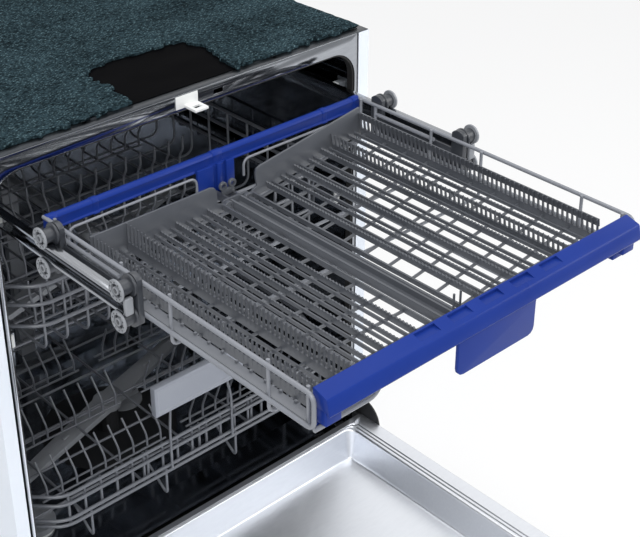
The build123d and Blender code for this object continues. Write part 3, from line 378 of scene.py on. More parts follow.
# Bitumen sheet. A sticky black damping sheet, ironed on the tub's roof; it lies a little wavy, has a soft
# sheen, and stands up in a blister where the felt over it is torn.
def laid_grid(name, x, y, level, cell):
    """Flat sheet of square cells between limits, in millimetres."""
    across, along = round((x[1] - x[0]) / cell), round((y[1] - y[0]) / cell)
    bpy.ops.object.select_all(action="DESELECT")
    bpy.ops.mesh.primitive_grid_add(x_subdivisions=across, y_subdivisions=along, size=1)
    piece = bpy.context.object
    piece.name = name
    low, high = at(x[0], y[0], level), at(x[1], y[1], level)
    size = high - low
    piece.data.transform(Matrix.Translation((low + high) / 2) @ Matrix.Diagonal((size.x, size.y, 1, 1)))
    return piece


def inside(x, y, loop):
    """True where a point lies in a closed outline."""
    hit = False
    for (ax, ay), (bx, by) in zip(loop, loop[1:] + loop[:1]):
        if (ay > y) != (by > y) and x < (bx - ax) * (y - ay) / (by - ay) + ax:
            hit = not hit
    return hit


def picked(piece, chosen):
    """Go into edit mode with those faces selected for which a test holds."""
    edited(piece, (bpy.ops.mesh.select_all, {"action": "DESELECT"}))
    for face in piece.data.polygons:
        face.select = chosen(face)
    bpy.ops.object.mode_set(mode="EDIT")


def trimmed(piece, dropped):
    """Delete the faces of a flat piece where a test of their middle holds, in millimetres."""
    picked(piece, lambda face: dropped(*mm(face.center)[:2]))
    bpy.ops.mesh.delete(type="FACE")
    bpy.ops.object.mode_set(mode="OBJECT")


def margin(x, y, loop):
    """Distance from a point to a closed outline."""
    point, gaps = Vector((x, y)), []
    for start, end in zip(loop, loop[1:] + loop[:1]):
        run = Vector(end) - Vector(start)
        share = max(0, min(1, (point - Vector(start)).dot(run) / run.length_squared))
        gaps.append((Vector(start) + run * share - point).length)
    return min(gaps)


def limits(node):
    """A node's low and high corners, in the millimetres that at() takes."""
    return [mm(corner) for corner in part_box(node)]


# bitumen, rolled to a sheet: deep black with a soft sheen
bitumen = moulded("black_bitumen", "#050506", "#0a0a0c", 0.34, grain_mm=9.0, bump=0.2, IOR=1.03)
tar_low, tar_high = limits("bitumen_sheet")
tar_cell, blister_cell = 8, 4
tar = laid_grid("tar", (tar_low[0], tar_high[0]), (tar_low[1], tar_high[1]), tar_low[2], tar_cell)
for vertex in tar.data.vertices:
    swell = noise.noise(Vector((vertex.co.x * 7, vertex.co.y * 11, 3.0)))
    vertex.co.z += 0.0006 + 0.0007 * swell
tear = [(-84, -5), (-70, 22), (-68, 66), (-72, 117), (-46, 129), (-16, 136), (48, 130), (84, 128), (94, 96),
        (88, 58), (77, 20), (88, -5)]
blister_level, under_lip, lip_drop = 812.6, 6, 3
blister = laid_grid("blister", (-92, 104), (13, 145), blister_level, blister_cell)
trimmed(blister, lambda x, y: margin(x, y, tear) > under_lip and not inside(x, y, tear))
for vertex in blister.data.vertices:
    x, y = mm(vertex.co)[:2]
    swell = noise.noise(Vector((x / 40, y / 30, 7.0)))
    tucked = 0 if inside(x, y, tear) or y < 30 else lip_drop
    vertex.co.z += (0.4 * swell - tucked) / 1000
tar = fused([tar, blister], "tar")
applied(tar, "SOLIDIFY", thickness=(tar_high[2] - tar_low[2]) / 1000, offset=1)
# the blister's skin is stretched thin, so it stays below the felt's top
thin_above, thinned = 0.8131, 0.0021
for vertex in tar.data.vertices:
    if vertex.co.z > thin_above:
        vertex.co.z -= thinned
fitted(smooth(tar, 40), "damping_sheet", bitumen, "cabinet", "bitumen", "bitumen_sheet")


# Felt blanket. Needle-punched felt of green-grey recycled fibre laid over the bitumen; it is torn open behind
# the striker, with thin ragged lips.
def needled_felt(name, dark, light, fleck):
    """Needle-punched fibre: slanting tufts and light flecks, thicker in some patches than in others."""
    material, shader, place = blank_finish(name, Roughness=0.95, IOR=1.1)
    tuft_mm, patch_mm = 4.762, 62.5
    slant = add_node(material, "ShaderNodeMapping", {"Vector": place, "Rotation": (0, 0, math.radians(38)),
                                                     "Scale": (1, 1.7, 1)})
    tuft = add_node(material, "ShaderNodeTexNoise", {"Vector": slant.outputs["Vector"],
                                                     "Scale": 1000 / tuft_mm, "Detail": 4.0,
                                                     "Roughness": 0.62})
    patch = add_node(material, "ShaderNodeTexNoise", {"Vector": place, "Scale": 1000 / patch_mm,
                                                      "Detail": 4.0})
    depth = add_node(material, "ShaderNodeMath", {0: patch.outputs["Fac"], 1: 0.3, 2: tuft.outputs["Fac"]},
                     operation="MULTIPLY_ADD")
    shade = add_node(material, "ShaderNodeMapRange", {"Value": depth.outputs["Value"], "From Min": 0.52,
                                                      "From Max": 0.8})
    tint = add_node(material, "ShaderNodeMix", {0: shade.outputs["Result"], 6: linear(dark),
                                                7: linear(light)}, data_type="RGBA")
    lint = add_node(material, "ShaderNodeTexVoronoi", {"Vector": slant.outputs["Vector"],
                                                       "Scale": 1000 / tuft_mm, "Randomness": 0.7})
    spots = add_node(material, "ShaderNodeMapRange", {"Value": lint.outputs["Distance"], "From Min": 0.34,
                                                      "From Max": 0.12, "To Max": 0.62})
    worn = add_node(material, "ShaderNodeMath", {0: spots.outputs["Result"], 1: shade.outputs["Result"]},
                    operation="MULTIPLY")
    mixed = add_node(material, "ShaderNodeMix", {0: worn.outputs["Value"], 6: tint.outputs[2],
                                                 7: linear(fleck)}, data_type="RGBA")
    relief = add_node(material, "ShaderNodeBump", {"Height": tuft.outputs["Fac"], "Strength": 0.8,
                                                   "Distance": 0.0025})
    join_up(material, shader, Base_Color=mixed.outputs[2], Normal=relief.outputs["Normal"])
    return material


# recycled fibre, needle-punched: dark teal with light flecks and no gloss
felt_fibre = needled_felt("needled_felt", "#0f191d", "#33454c", "#86a4aa")
felt_low, felt_high = limits("felt_blanket")
felt_cell, felt_gap, crossbar_lap, crossbar_top = 4, 1, 20, 0.8124
felt_x = (felt_low[0] + felt_gap, felt_high[0] - felt_gap)
felt_y = (felt_low[1] - crossbar_lap, felt_high[1] - felt_gap)
felt = laid_grid("felt", felt_x, felt_y, felt_low[2], felt_cell)


def ragged(x, y):
    """True where the felt is torn away, or frayed along its front edge."""
    fray = Vector((x / 9, y / 9, 0))
    x += 6 * noise.noise(fray) + 4 * noise.noise(fray * 2.7)
    y += 6 * noise.noise(fray + Vector((9, 4, 0))) + 4 * noise.noise(fray * 2.9)
    return inside(x, y, tear) or y < felt_y[0] + 3 + 3 * noise.noise(fray * 1.7)


trimmed(felt, ragged)
edited(felt, (bpy.ops.mesh.vertices_smooth, {"factor": 0.5, "repeat": 2}))
for vertex in felt.data.vertices:
    x, y = mm(vertex.co)[:2]
    roll = noise.noise(Vector((x / 60, y / 45, 1.5)))
    vertex.co.z += (1.2 + 1.1 * roll + 0.6 * noise.noise(Vector((x / 7, y / 7, 0)))) / 1000
applied(felt, "SOLIDIFY", thickness=(felt_high[2] - felt_low[2]) / 1000, offset=1)
for vertex in felt.data.vertices:
    if mm(vertex.co)[1] < felt_low[1] + 2:
        vertex.co.z = max(vertex.co.z, crossbar_top)
fitted(smooth(felt, 60), "felt_cover", felt_fibre, "cabinet", "felt", "felt_blanket")


# Hinge covers. Black polypropylene discs pressed over the hinge pins, with a rounded rim and a shallow
# dished face.
def mirrored_pair(node, profile, steps, width):
    """Two like wheels or discs about one cross axis, each a given width in from a node's sides."""
    low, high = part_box(node)
    centre = (low + high) / 2
    inner = high.x - width / 1000
    pair = []
    for side in (-1, 1):
        piece = turned("round", profile, "X", Vector((0, centre.y, centre.z)), steps)
        for vertex in piece.data.vertices:
            vertex.co.x = side * (inner + vertex.co.x)
        if side < 0:
            piece.data.flip_normals()
        pair.append(piece)
    return fused(pair, node + "_pair")


disc = [(0, 5.2), (0, 34), (0.8, 36), (2.6, 36), (3.4, 35), (3.4, 31), (2.9, 30), (2.9, 5.2), (0, 5.2)]
disc_width = 3.4
fitted(mirrored_pair("hinge_covers", disc, 64, disc_width), "hinge_cover_discs", black_polypropylene,
       "cabinet", "dark_plastic", "hinge_covers")


# Spray arms and feed tube. Grey acetal mouldings welded from two halves and snapped on their hubs; the seams
# are rounded and the nozzles stand proud on top.
# mid grey acetal, dulled by water: a flat grey
arm_acetal = moulded("mid_grey_acetal", "#7e8186", "#8f9297", 0.34)
eased("lower_spray_arm", 1.5, "lower_spray_moulding", arm_acetal, "lower_arm", "grey_plastic")
eased("upper_spray_arm", 1.5, "upper_spray_moulding", arm_acetal, "upper_arm", "grey_plastic")
eased("upper_feed_tube", 1.0, "feed_tube_moulding", arm_acetal, "upper_drawer", "grey_plastic")


# Upper basket. Drawn steel wire, bent, spot-welded and dipped in grey nylon, which rounds the crossings
# and leaves a soft gloss; the coat is drawn darker than the rack's, as painted shade inside the tub. Its side
# rails are fixed to it and slide with it.
def wires(name, runs, across, corner, closed=()):
    """Round wires bent along runs of points in millimetres, with their corners rounded."""
    points, edges = [], []
    for number, run in enumerate(runs):
        first = len(points)
        points += [at(*point) for point in run]
        edges += [(first + i, first + i + 1) for i in range(len(run) - 1)]
        if number in closed:
            edges.append((first + len(run) - 1, first))
    piece = shaped(name, points, edges)
    applied(piece, "BEVEL", affect="VERTICES", width=corner / 1000, segments=4)
    bpy.ops.object.convert(target="CURVE")
    piece.data.bevel_depth = across / 2000
    piece.data.bevel_resolution = 2
    piece.data.use_fill_caps = True
    bpy.ops.object.convert(target="MESH")
    return smooth(piece, 50)


def spaced(low, high, count):
    """Evenly spaced places from low to high."""
    return [low + (high - low) * i / (count - 1) for i in range(count)]


def ring(half, front, rear, level, chamfer):
    """Rail round a basket with its corners cut across."""
    return [(-half + chamfer, front, level), (half - chamfer, front, level), (half, front + chamfer, level),
            (half, rear - chamfer, level), (half - chamfer, rear, level), (-half + chamfer, rear, level),
            (-half, rear - chamfer, level), (-half, front + chamfer, level)]


def cradle(half, y, floor, top):
    """Wire across a basket at a depth, and up both its sides."""
    return [(-half, y, top), (-half, y, floor), (half, y, floor), (half, y, top)]


# steel wire dipped in grey nylon, drawn darker than on the rack as painted shade inside the tub: a soft
# line of light along each wire
basket_nylon_painted_shade = moulded("grey_nylon_coat_painted_shade", "#5a5d63", "#6e7178", 0.3)
upper_half, upper_front, upper_back, upper_floor, upper_rim = 254.5, 22, 462, 520, 618
inset, rail_wire, upper_cut = 4.2, 5.0, 38
rails = [ring(upper_half, upper_front, upper_back, level, upper_cut) for level in (upper_rim, 592, 562)]
upper_wires = [wires("upper_rail", rails, rail_wire, corner=16, closed=(0, 1, 2))]
cups = [cradle(upper_half - inset, y, upper_floor, upper_rim) for y in spaced(64, 430, 9)]
for x in spaced(-214, 214, 15):
    low = upper_floor + 4
    cups.append([(x, upper_front + inset, upper_rim), (x, upper_front + inset, low),
                 (x, upper_back - inset, low), (x, upper_back - inset, upper_rim)])
upper_wires.append(wires("upper_cup", cups, across=3.6, corner=14))
tines, tine_row = [], upper_floor + 8
for y in spaced(82, 402, 4):
    tines.append([(-198, y, tine_row), (198, y, tine_row)])
    for x in spaced(-194, 194, 16):
        lean = 9 if x < 0 else -9
        tines.append([(x, y, tine_row + 1), (x, y, tine_row + 22), (x, y + lean, tine_row + 36),
                      (x, y + lean, tine_row + 58)])
upper_wires.append(wires("upper_tine", tines, across=3.4, corner=5))
fitted(fused(upper_wires, "upper"), "upper_basket_wires", basket_nylon_painted_shade, "upper_drawer", "wire",
       "upper_basket")


# Lower basket. The same coated wire: a sparse floor, rows of bent tines on double wires, a low front with
# close uprights, and foot loops below its front.
lower_half, lower_front, lower_back, lower_floor = 262, 14, 462, 250
side_rim, front_rim, lower_cut = 332, 306, 40
rails = [ring(lower_half, lower_front, lower_back, level, lower_cut) for level in (257, 266, 291)]
cut_x, cut_front, cut_back = lower_half - lower_cut, lower_front + lower_cut, lower_back - lower_cut
step_y = lower_front + 90
rails.append([(-cut_x, lower_front, front_rim), (cut_x, lower_front, front_rim),
              (lower_half, cut_front, front_rim), (lower_half, step_y, side_rim),
              (lower_half, cut_back, side_rim), (cut_x, lower_back, side_rim),
              (-cut_x, lower_back, side_rim), (-lower_half, cut_back, side_rim),
              (-lower_half, step_y, side_rim), (-lower_half, cut_front, front_rim)])
lower_wires = [wires("lower_rail", rails, rail_wire, corner=14, closed=(0, 1, 2, 3))]
low_front, upright_foot, stand_foot = 110, 255, 262
cups = []
for y in spaced(64, 430, 6):
    cups.append(cradle(lower_half - inset, y, lower_floor, side_rim if y > low_front else front_rim))
for x in spaced(-188, 188, 5):
    low = lower_floor + 4
    cups.append([(x, lower_front + inset, front_rim), (x, lower_front + inset, low),
                 (x, lower_back - inset, low), (x, lower_back - inset, side_rim)])
for x in spaced(-213, 213, 18):
    cups.append([(x, lower_front + inset, front_rim), (x, lower_front + inset, upright_foot)])
    cups.append([(x, lower_back - inset, side_rim), (x, lower_back - inset, upright_foot)])
for x in (-48, 48):
    lean = math.copysign(5, x)
    cups.append([(x + lean, lower_front - 3, stand_foot), (x + lean, lower_front - 3, 330),
                 (x, lower_front, 362)])
for x in spaced(-183, 183, 4):
    cups.append([(x, lower_front + 1, stand_foot), (x, lower_front + 1, 216),
                 (x, lower_front + 46, lower_floor - 3)])
lower_wires.append(wires("lower_cup", cups, across=3.8, corner=9))
tines, tine_row, row_gap, row_over = [], lower_floor + 8, 13, 8
foot, bend = tine_row + 1, tine_row + 21
for y in spaced(74, 402, 4):
    for group in (-1, 1):
        ends = sorted((group * 26, group * 212))
        lean, rise = (24, 28) if group < 0 else (-17, 42)
        for row in (y, y + row_gap):
            tines.append([(ends[0] - row_over, row, tine_row), (ends[1] + row_over, row, tine_row)])
        for x in spaced(ends[0], ends[1], 9):
            tines.append([(x, y, foot), (x, y, bend), (x, y + lean, bend + rise)])
lower_wires.append(wires("lower_tine", tines, across=3.2, corner=6))
# the basket's coat is drawn darker, as painted shade inside the tub, like the upper basket's
fitted(fused(lower_wires, "lower"), "lower_basket_wires", basket_nylon_painted_shade, "lower_drawer", "wire",
       "lower_basket")


# Lower basket handle. A plain plate of mid-grey ABS clipped on the two stands, with a raised border and a
# bevel all round.
# mid grey ABS, as moulded: even and half matt
handle_abs = moulded("mid_grey_abs", "#878b95", "#9498a1", 0.4)
plate = slab(*zip(*limits("lower_basket_handle")))
edge_width, border_rise, border_width, panel_bevel, panel_drop = 0.003, 0.0004, 0.0022, 0.0008, 0.0014
picked(plate, lambda face: face.normal.y < -0.9)
bpy.ops.mesh.inset(thickness=edge_width)
bpy.ops.transform.translate(value=(0, -border_rise, 0))
bpy.ops.mesh.inset(thickness=border_width)
bpy.ops.mesh.inset(thickness=panel_bevel)
bpy.ops.transform.translate(value=(0, panel_drop, 0))
bpy.ops.object.mode_set(mode="OBJECT")
fitted(rounded(plate, 0.9, angle=30), "handle_plate", handle_abs, "lower_drawer", "grey_plastic",
       "lower_basket_handle")


# Lower basket wheels. Light grey acetal wheels with a dished face, snapped on the carriers' pins; the basket
# rolls on them, out over the open door.
tread = [(0, 4.1), (0, 15), (1.5, 15.5), (1.5, 17), (2.5, 18), (7.5, 18), (8.5, 17), (8.5, 15.5), (10, 15),
         (9, 13), (9, 7), (10, 6), (10, 4.1), (0, 4.1)]
tread_width = 10
for end in ("front", "rear"):
    node = "lower_wheels_" + end
    fitted(mirrored_pair(node, tread, 36, tread_width), node + "_pair", grey_acetal,
           "basket_" + end + "_wheels", "grey_plastic", node)


# Upper basket rails and cutlery rack rails. Cold-rolled steel, drawn to a C with turned-in lips and polished;
# the rack's ones end in grey caps and slide on guide blocks in the tub's walls.
def drawn(name, outline, axis, span):
    """Section outlined in millimetres across an axis, extruded along it between two limits."""
    slots = {"X": (1, 2, 0), "Y": (0, 2, 1)}[axis]
    ends = []
    for along in span:
        for a, b in outline:
            place = [0, 0, 0]
            place[slots[0]], place[slots[1]], place[slots[2]] = a, b, along
            ends.append(at(*place))
    count = len(outline)
    faces = [list(range(count)), list(range(count, 2 * count))]
    faces += [[i, (i + 1) % count, count + (i + 1) % count, count + i] for i in range(count)]
    piece = shaped(name, ends, (), faces)
    return edited(piece, (bpy.ops.mesh.normals_make_consistent, {"inside": False}))


# cold-rolled steel, polished: long bright reflections
rail_steel = rolled_metal("polished_rail_steel", "#8d9095", "#adb0b5", 0.12, (14, 1, 14))
coat(rail_steel, "upper_rails")
rail_low, rail_high = limits("rack_rails")
rail_in, rail_out, rail_z = 251.0, 261.0, (rail_low[2], rail_high[2])
lip, skin, cap_length = 3.4, 1.2, 5
cap_end = rail_low[1] + cap_length
channels, caps = [], []
for side in (-1, 1):
    section = [(rail_in, rail_z[0]), (rail_out, rail_z[0]), (rail_out, rail_z[0] + lip),
               (rail_out - skin, rail_z[0] + lip), (rail_out - skin, rail_z[0] + skin),
               (rail_in + skin, rail_z[0] + skin), (rail_in + skin, rail_z[1] - skin),
               (rail_out - skin, rail_z[1] - skin), (rail_out - skin, rail_z[1] - lip),
               (rail_out, rail_z[1] - lip), (rail_out, rail_z[1]), (rail_in, rail_z[1])]
    channel = drawn("channel", [(side * x, z) for x, z in section], "Y", (cap_end, rail_high[1]))
    channels.append(rounded(channel, 0.4))
    cap = slab(sorted((side * rail_in, side * rail_out)), (rail_low[1], cap_end), rail_z)
    caps.append(rounded(cap, 1.4, segments=3))
fitted(fused(channels, "rails"), "rack_rail_channels", rail_steel, "rails", "rail", "rack_rails")
fitted(fused(caps, "caps"), "rack_rail_caps", grey_acetal, "rails", "grey_plastic")


# Cutlery rack frame. Grey-coated wire: a loop along each side, cross wires bent up as posts, and thin hoops
# under the rear bar, all spot-welded before coating.
rod_x, rod_top, rod_low, post_x, cross_z = 236.2, 746, 708, 231.7, 688
rod_front, loop_rear, inner_z, post_top, first_post = -478.5, -78.5, 734, rod_top + 2.5, -56
loops = []
for side in (-1, 1):
    x = side * rod_x
    loops.append([(x, -40, rod_top), (x, rod_front, rod_top), (x, rod_front, rod_low),
                  (x, loop_rear, rod_low), (x, loop_rear, rod_top - 2)])
    loops.append([(x, -80, inner_z), (x, -181, inner_z)])
    reach = 158 if side < 0 else 216
    loops.append([(x, rod_front, rod_low), (side * reach, rod_front, rod_low),
                  (side * (reach - 12), rod_front, 733)])
rack_frame = [wires("side_rod", loops, across=5.0, corner=9)]
hoops = [cradle(post_x, y, cross_z, post_top) for y in (first_post, -180, -262, -411)]
hoops += [[(x, -440, cross_z - 4), (x, first_post, cross_z - 4)] for x in (-118, 0, 118)]
hoops += [[(x, -466, post_top), (x, -466, rod_low - 1)] for x in (-post_x, post_x)]
rack_frame.append(wires("hoop", hoops, across=4.0, corner=7))
stay_y, stay_top, stay_out, stay_in = -53, 728, 215, 36
stays = [[(side * stay_out, stay_y, rod_low), (side * stay_out, stay_y, stay_top),
          (side * stay_in, stay_y, stay_top), (side * stay_in, stay_y, rod_low - 2)] for side in (-1, 1)]
rack_frame.append(wires("stay", stays, across=3.2, corner=9))
# steel wire dipped in grey nylon, in the coat's own grey; the baskets' copy is darker, as painted shade
wire_nylon = moulded("grey_nylon_coat", "#74777e", "#8b8e95", 0.3)
fitted(fused(rack_frame, "frame"), "rack_frame_wires", wire_nylon, "rack", "wire", "rack_wires")


# Side strip. A flat strip of mid grey polypropylene clipped on the posts along the rack's left side, with a
# row of small nubs that the grid's outer edge rests against.
# mid grey polypropylene, as moulded: even and dull
strip_grey = moulded("mid_grey_polypropylene", "#5e6167", "#6e7177", 0.4)
strip_x, strip_y, strip_z = (-229.7, -217), (-468, -76), (702.5, 705.5)
nub_x, nub_z, nub_half = (-220, -217.2), (705.2, 708.2), 1.4
strip = [rounded(slab(strip_x, strip_y, strip_z), 0.7)]
for y in spaced(-456, -90, 18):
    strip.append(slab(nub_x, (y - nub_half, y + nub_half), nub_z))
fitted(fused(strip, "strip"), "rack_side_strip", strip_grey, "rack", "grey_plastic")


# Front bar. A blue ABS moulding with a sloping top, shallow pockets along it and a grip tab hanging from its
# middle; it is pressed on the side loops, and two clips grip their front wires.
# blue ABS, as moulded: a deep blue with thin highlights along its edges
blue_abs = moulded("blue_abs", "#172e7a", "#1d3788", 0.3, IOR=1.2)
bar_half, tab_y, clip_in, clip_out = 231.2, (-490.4, -486.1), 209.7, 229.7
pocket_half, pocket_y, pocket_z = 14, (-484, -474), (746.2, 755)
bar_section = [(-471, 731), (-471, 749.4), (-472, 750), (-489.2, 745), (-490.4, 743.2), (-493.6, 728.4),
               (-492.6, 726.6), (-490.6, 727.2), (-489.6, 730), (-472, 730)]
bar = rounded(drawn("bar", bar_section, "X", (-bar_half, bar_half)), 1.3, segments=3, angle=25)
pockets = [slab((x - pocket_half, x + pocket_half), pocket_y, pocket_z) for x in (-92, -46, 0, 46, 92)]
pierced(bar, fused(pockets, "pockets"))
tab_edge = [(68, 731), (62, 729.4), (59, 726.5), (58, 722), (58, 693), (56.8, 688.5), (53.5, 685.2),
            (49, 684)]
tab = drawn("tab", tab_edge + [(-x, z) for x, z in reversed(tab_edge)], "Y", tab_y)
front_bar = [smooth(bar, 25), rounded(tab, 1.1, segments=3)]
for side in (-1, 1):
    x = sorted((side * clip_in, side * clip_out))
    front_bar.append(rounded(slab(x, (-487, -468), (712, 731)), 1.6, segments=3))
    front_bar.append(rounded(slab(x, (-475.2, -468), (701, 713)), 1.0))
fitted(fused(front_bar, "front_bar"), "front_bar_moulding", blue_abs, "rack", "blue_plastic",
       "rack_front_bar")


# Rear bar. Blue ABS in two halves with a rolled rib along the top, joined by a collar in the middle; its ends
# hook over the side rods, and plates hang from it to carry the centre beam.
rear_section = [(-38, 731.5), (-38, 744), (-39.2, 747), (-41.6, 748.5), (-45.4, 748.5), (-48, 747),
                (-49.2, 744.4), (-48.2, 742.4), (-48.2, 734), (-50, 733), (-50, 731.5)]


def grown(outline, middle, by):
    """An outline with each point moved out from a middle by a share."""
    return [(middle[0] + (a - middle[0]) * by, middle[1] + (b - middle[1]) * by) for a, b in outline]


collar = grown(rear_section, (-44, 740), 1.09)
collar_spans = ((-7, 7), (-178, -170), (170, 178), (-236, -224), (224, 236))
rear_bar = [drawn("half", rear_section, "X", span) for span in ((-233.7, -2), (2, 233.7))]
rear_bar += [drawn("collar", collar, "X", span) for span in collar_spans]
rear_bar = [rounded(piece, 0.5, angle=40) for piece in rear_bar]
plate_top = 735
for x in ((-34, -10), (-4, 3), (10, 22)):
    rear_bar.append(rounded(slab(x, (-53, -48.6), (698, plate_top)), 0.8))
rear_bar.append(rounded(slab((-15, 15), (-50, -47), (690.3, plate_top)), 0.6))
fitted(fused(rear_bar, "rear_bar"), "rear_bar_moulding", blue_abs, "rack", "blue_plastic", "rack_rear_bar")


# Wheel carriers. Acetal plates snapped on the side rods; each holds an upper and a lower pair of spool wheels
# on its pins. Their dark grey is painted shade.
# acetal, as moulded: waxy; its dark grey is painted shade, a darker copy of the light grey acetal
acetal_painted_shade = moulded("grey_acetal_with_painted_shade", "#2e3136", "#3c3f45", 0.34)
eased("wheel_carriers", 0.9, "wheel_carrier_plates", acetal_painted_shade, "rack", "grey_plastic")


# Spool wheels. Acetal spools with two flanges that hold the rail between them; a light grey disc and hub
# are pressed on the outer end, round a deep ring and a circle of moulded dots. The spools are drawn dark grey
# as painted shade on the wheels' inner sides; the disc and hub keep the acetal's light grey.
wheel_width, dot_count, dot_circle, first_dot = 19.0, 10, 0.0096, 12
spool = [(0, 3.1), (0, 11.6), (0.7, 12.4), (2.3, 12.4), (3, 11.8), (3.4, 8.3), (15.6, 8.3), (15.6, 8),
         (14.8, 7.8), (14.8, 3.1), (0, 3.1)]
outer_disc = [(15.6, 8), (15.6, 8.3), (16, 11.8), (16.7, 12.4), (18.3, 12.4), (19, 11.6), (19, 11.1),
              (18.5, 10.8), (18.5, 8.3), (18.3, 8), (15.6, 8)]
outer_hub = [(14.8, 3.1), (14.8, 4.8), (18.6, 4.6), (19, 4.2), (19, 3.1), (14.8, 3.1)]
for spot in ("upper_rear", "lower_rear", "upper_front", "lower_front"):
    node, body = "rack_wheels_" + spot, spot + "_wheels"
    low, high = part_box(node)
    centre = (low + high) / 2
    tip = high.x * 1000
    spools = [mirrored_pair(node, spool, 36, wheel_width)]
    for i in range(dot_count):
        turn = math.radians(360 / dot_count * i + first_dot)
        place = Vector((0, centre.y + dot_circle * math.cos(turn), centre.z + dot_circle * math.sin(turn)))
        for side in (-1, 1):
            dot = [(side * (tip - 1), 0.9), (side * (tip - 0.2), 0.9), (side * tip, 0.5), (side * tip, 0)]
            spools.append(turned("dot", dot, "X", place, steps=8))
    # the spools take the acetal drawn dark as painted shade; the discs below keep its own light grey
    fitted(fused(spools, node), node + "_pair", acetal_painted_shade, body, "grey_plastic", node)
    faces = [mirrored_pair(node, profile, 36, wheel_width) for profile in (outer_disc, outer_hub)]
    fitted(fused(faces, node), node + "_discs", grey_acetal, body, "grey_plastic")


# Centre beam. A channel of dark grey polypropylene between the rear bar's plates and the front bar, with pins
# for the grids' eyelets, two rings behind and two upright pins in front.
# dark grey polypropylene, as moulded: dull, and darker between the ribs
grid_grey = moulded("dark_grey_polypropylene", "#46494f", "#585b61", 0.36)
beam = [softened("rack_centre_beam", 0.6)]
eyelet = [(0, 2.8), (0, 5), (0.6, 5.6), (3.4, 5.6), (4, 5), (4, 2.8), (0, 2.8)]
ring_x, ring_y, ring_z, pin_x, pin_y, beam_top = 7, -68, 711.5, 5, -435, 699
for x in (-ring_x, ring_x):
    beam.append(turned("eyelet", eyelet, "Y", at(x, ring_y, ring_z), steps=28))
beam.append(rounded(slab((-9, 9), (ring_y, ring_y + 4), (beam_top, 707.4)), 0.6))
pins = [[(x, pin_y, beam_top), (x, pin_y, 732)] for x in (-pin_x, pin_x)]
beam.append(wires("pins", pins, across=2.6, corner=1))
fitted(fused(beam, "beam"), "centre_beam_channel", grid_grey, "rack", "grid_plastic", "rack_centre_beam")


# Cutlery grids. Dark grey polypropylene lattices with comb fins for handles and a wall behind; each hangs by
# eyelets on the beam's pins, so its outer side can be raised.
grid_x, grid_y, grid_low, grid_high, comb_tip = (21.8, 207.2), (-466.4, -82.6), 690.3, 700.3, 728.3
pivot_x, pivot_z, raised = 15, 696.3, 8.7
front_gap, comb_pitch, notch_pitch, eye_length, wall_thick = 8, 6.8, 5.0, 5.2, 3
rib_low, cross_low = grid_high - 6, grid_high - 7
notched_x, raised_x = (68.8, 114.5, 183.05), (45.95, 91.65, 137.35)
plain_x = (54.5, 77.4, 100.2, 123, 148.8, 171.6, 193.5)


def toothed(x, thick, y, low, high, pitch, depth):
    """Upright strip along Y with a finely notched top."""
    count = 2 * round((y[1] - y[0]) / pitch)
    step = (y[1] - y[0]) / count
    edge = [(y[0] + i * step, high - (depth if i % 2 else 0)) for i in range(count + 1)]
    points, faces = [], []
    for across in (x - thick / 2, x + thick / 2):
        for place, top in edge:
            points += [at(across, place, low), at(across, place, top)]
    far = 2 * (count + 1)
    for i in range(count):
        a, b, c, d = 2 * i, 2 * i + 2, 2 * i + 3, 2 * i + 1
        faces += [(a, b, c, d), (far + d, far + c, far + b, far + a), (d, c, far + c, far + d),
                  (b, a, far + a, far + b)]
    faces += [(0, 1, far + 1, far), (far - 1, far - 2, 2 * far - 2, 2 * far - 1)]
    strip = shaped("strip", points, (), faces)
    return edited(strip, (bpy.ops.mesh.normals_make_consistent, {"inside": False}))


def comb(x, y, low, shoulder, tip, pitch):
    """Row of tapered fins on a rail."""
    fin_half, fin_depth, tip_share_x, tip_share_y = 1.4, 2.2, 0.7, 0.55
    count = round((y[1] - y[0]) / pitch)
    fin = slab((x - fin_half, x + fin_half), (y[0], y[0] + fin_depth), (shoulder - 6, tip))
    middle = at(x, y[0] + fin_depth / 2, tip)
    for vertex in fin.data.vertices:
        if vertex.co.z > tip / 1000 - 0.001:
            vertex.co.x = middle.x + (vertex.co.x - middle.x) * tip_share_x
            vertex.co.y = middle.y + (vertex.co.y - middle.y) * tip_share_y
    step = (y[1] - y[0] - fin_depth) / (count - 1) / 1000
    applied(fin, "ARRAY", count=count, use_relative_offset=False, use_constant_offset=True,
            constant_offset_displace=(0, step, 0))
    return [fin, slab((x - 1.2, x + 1.2), y, (low, shoulder))]


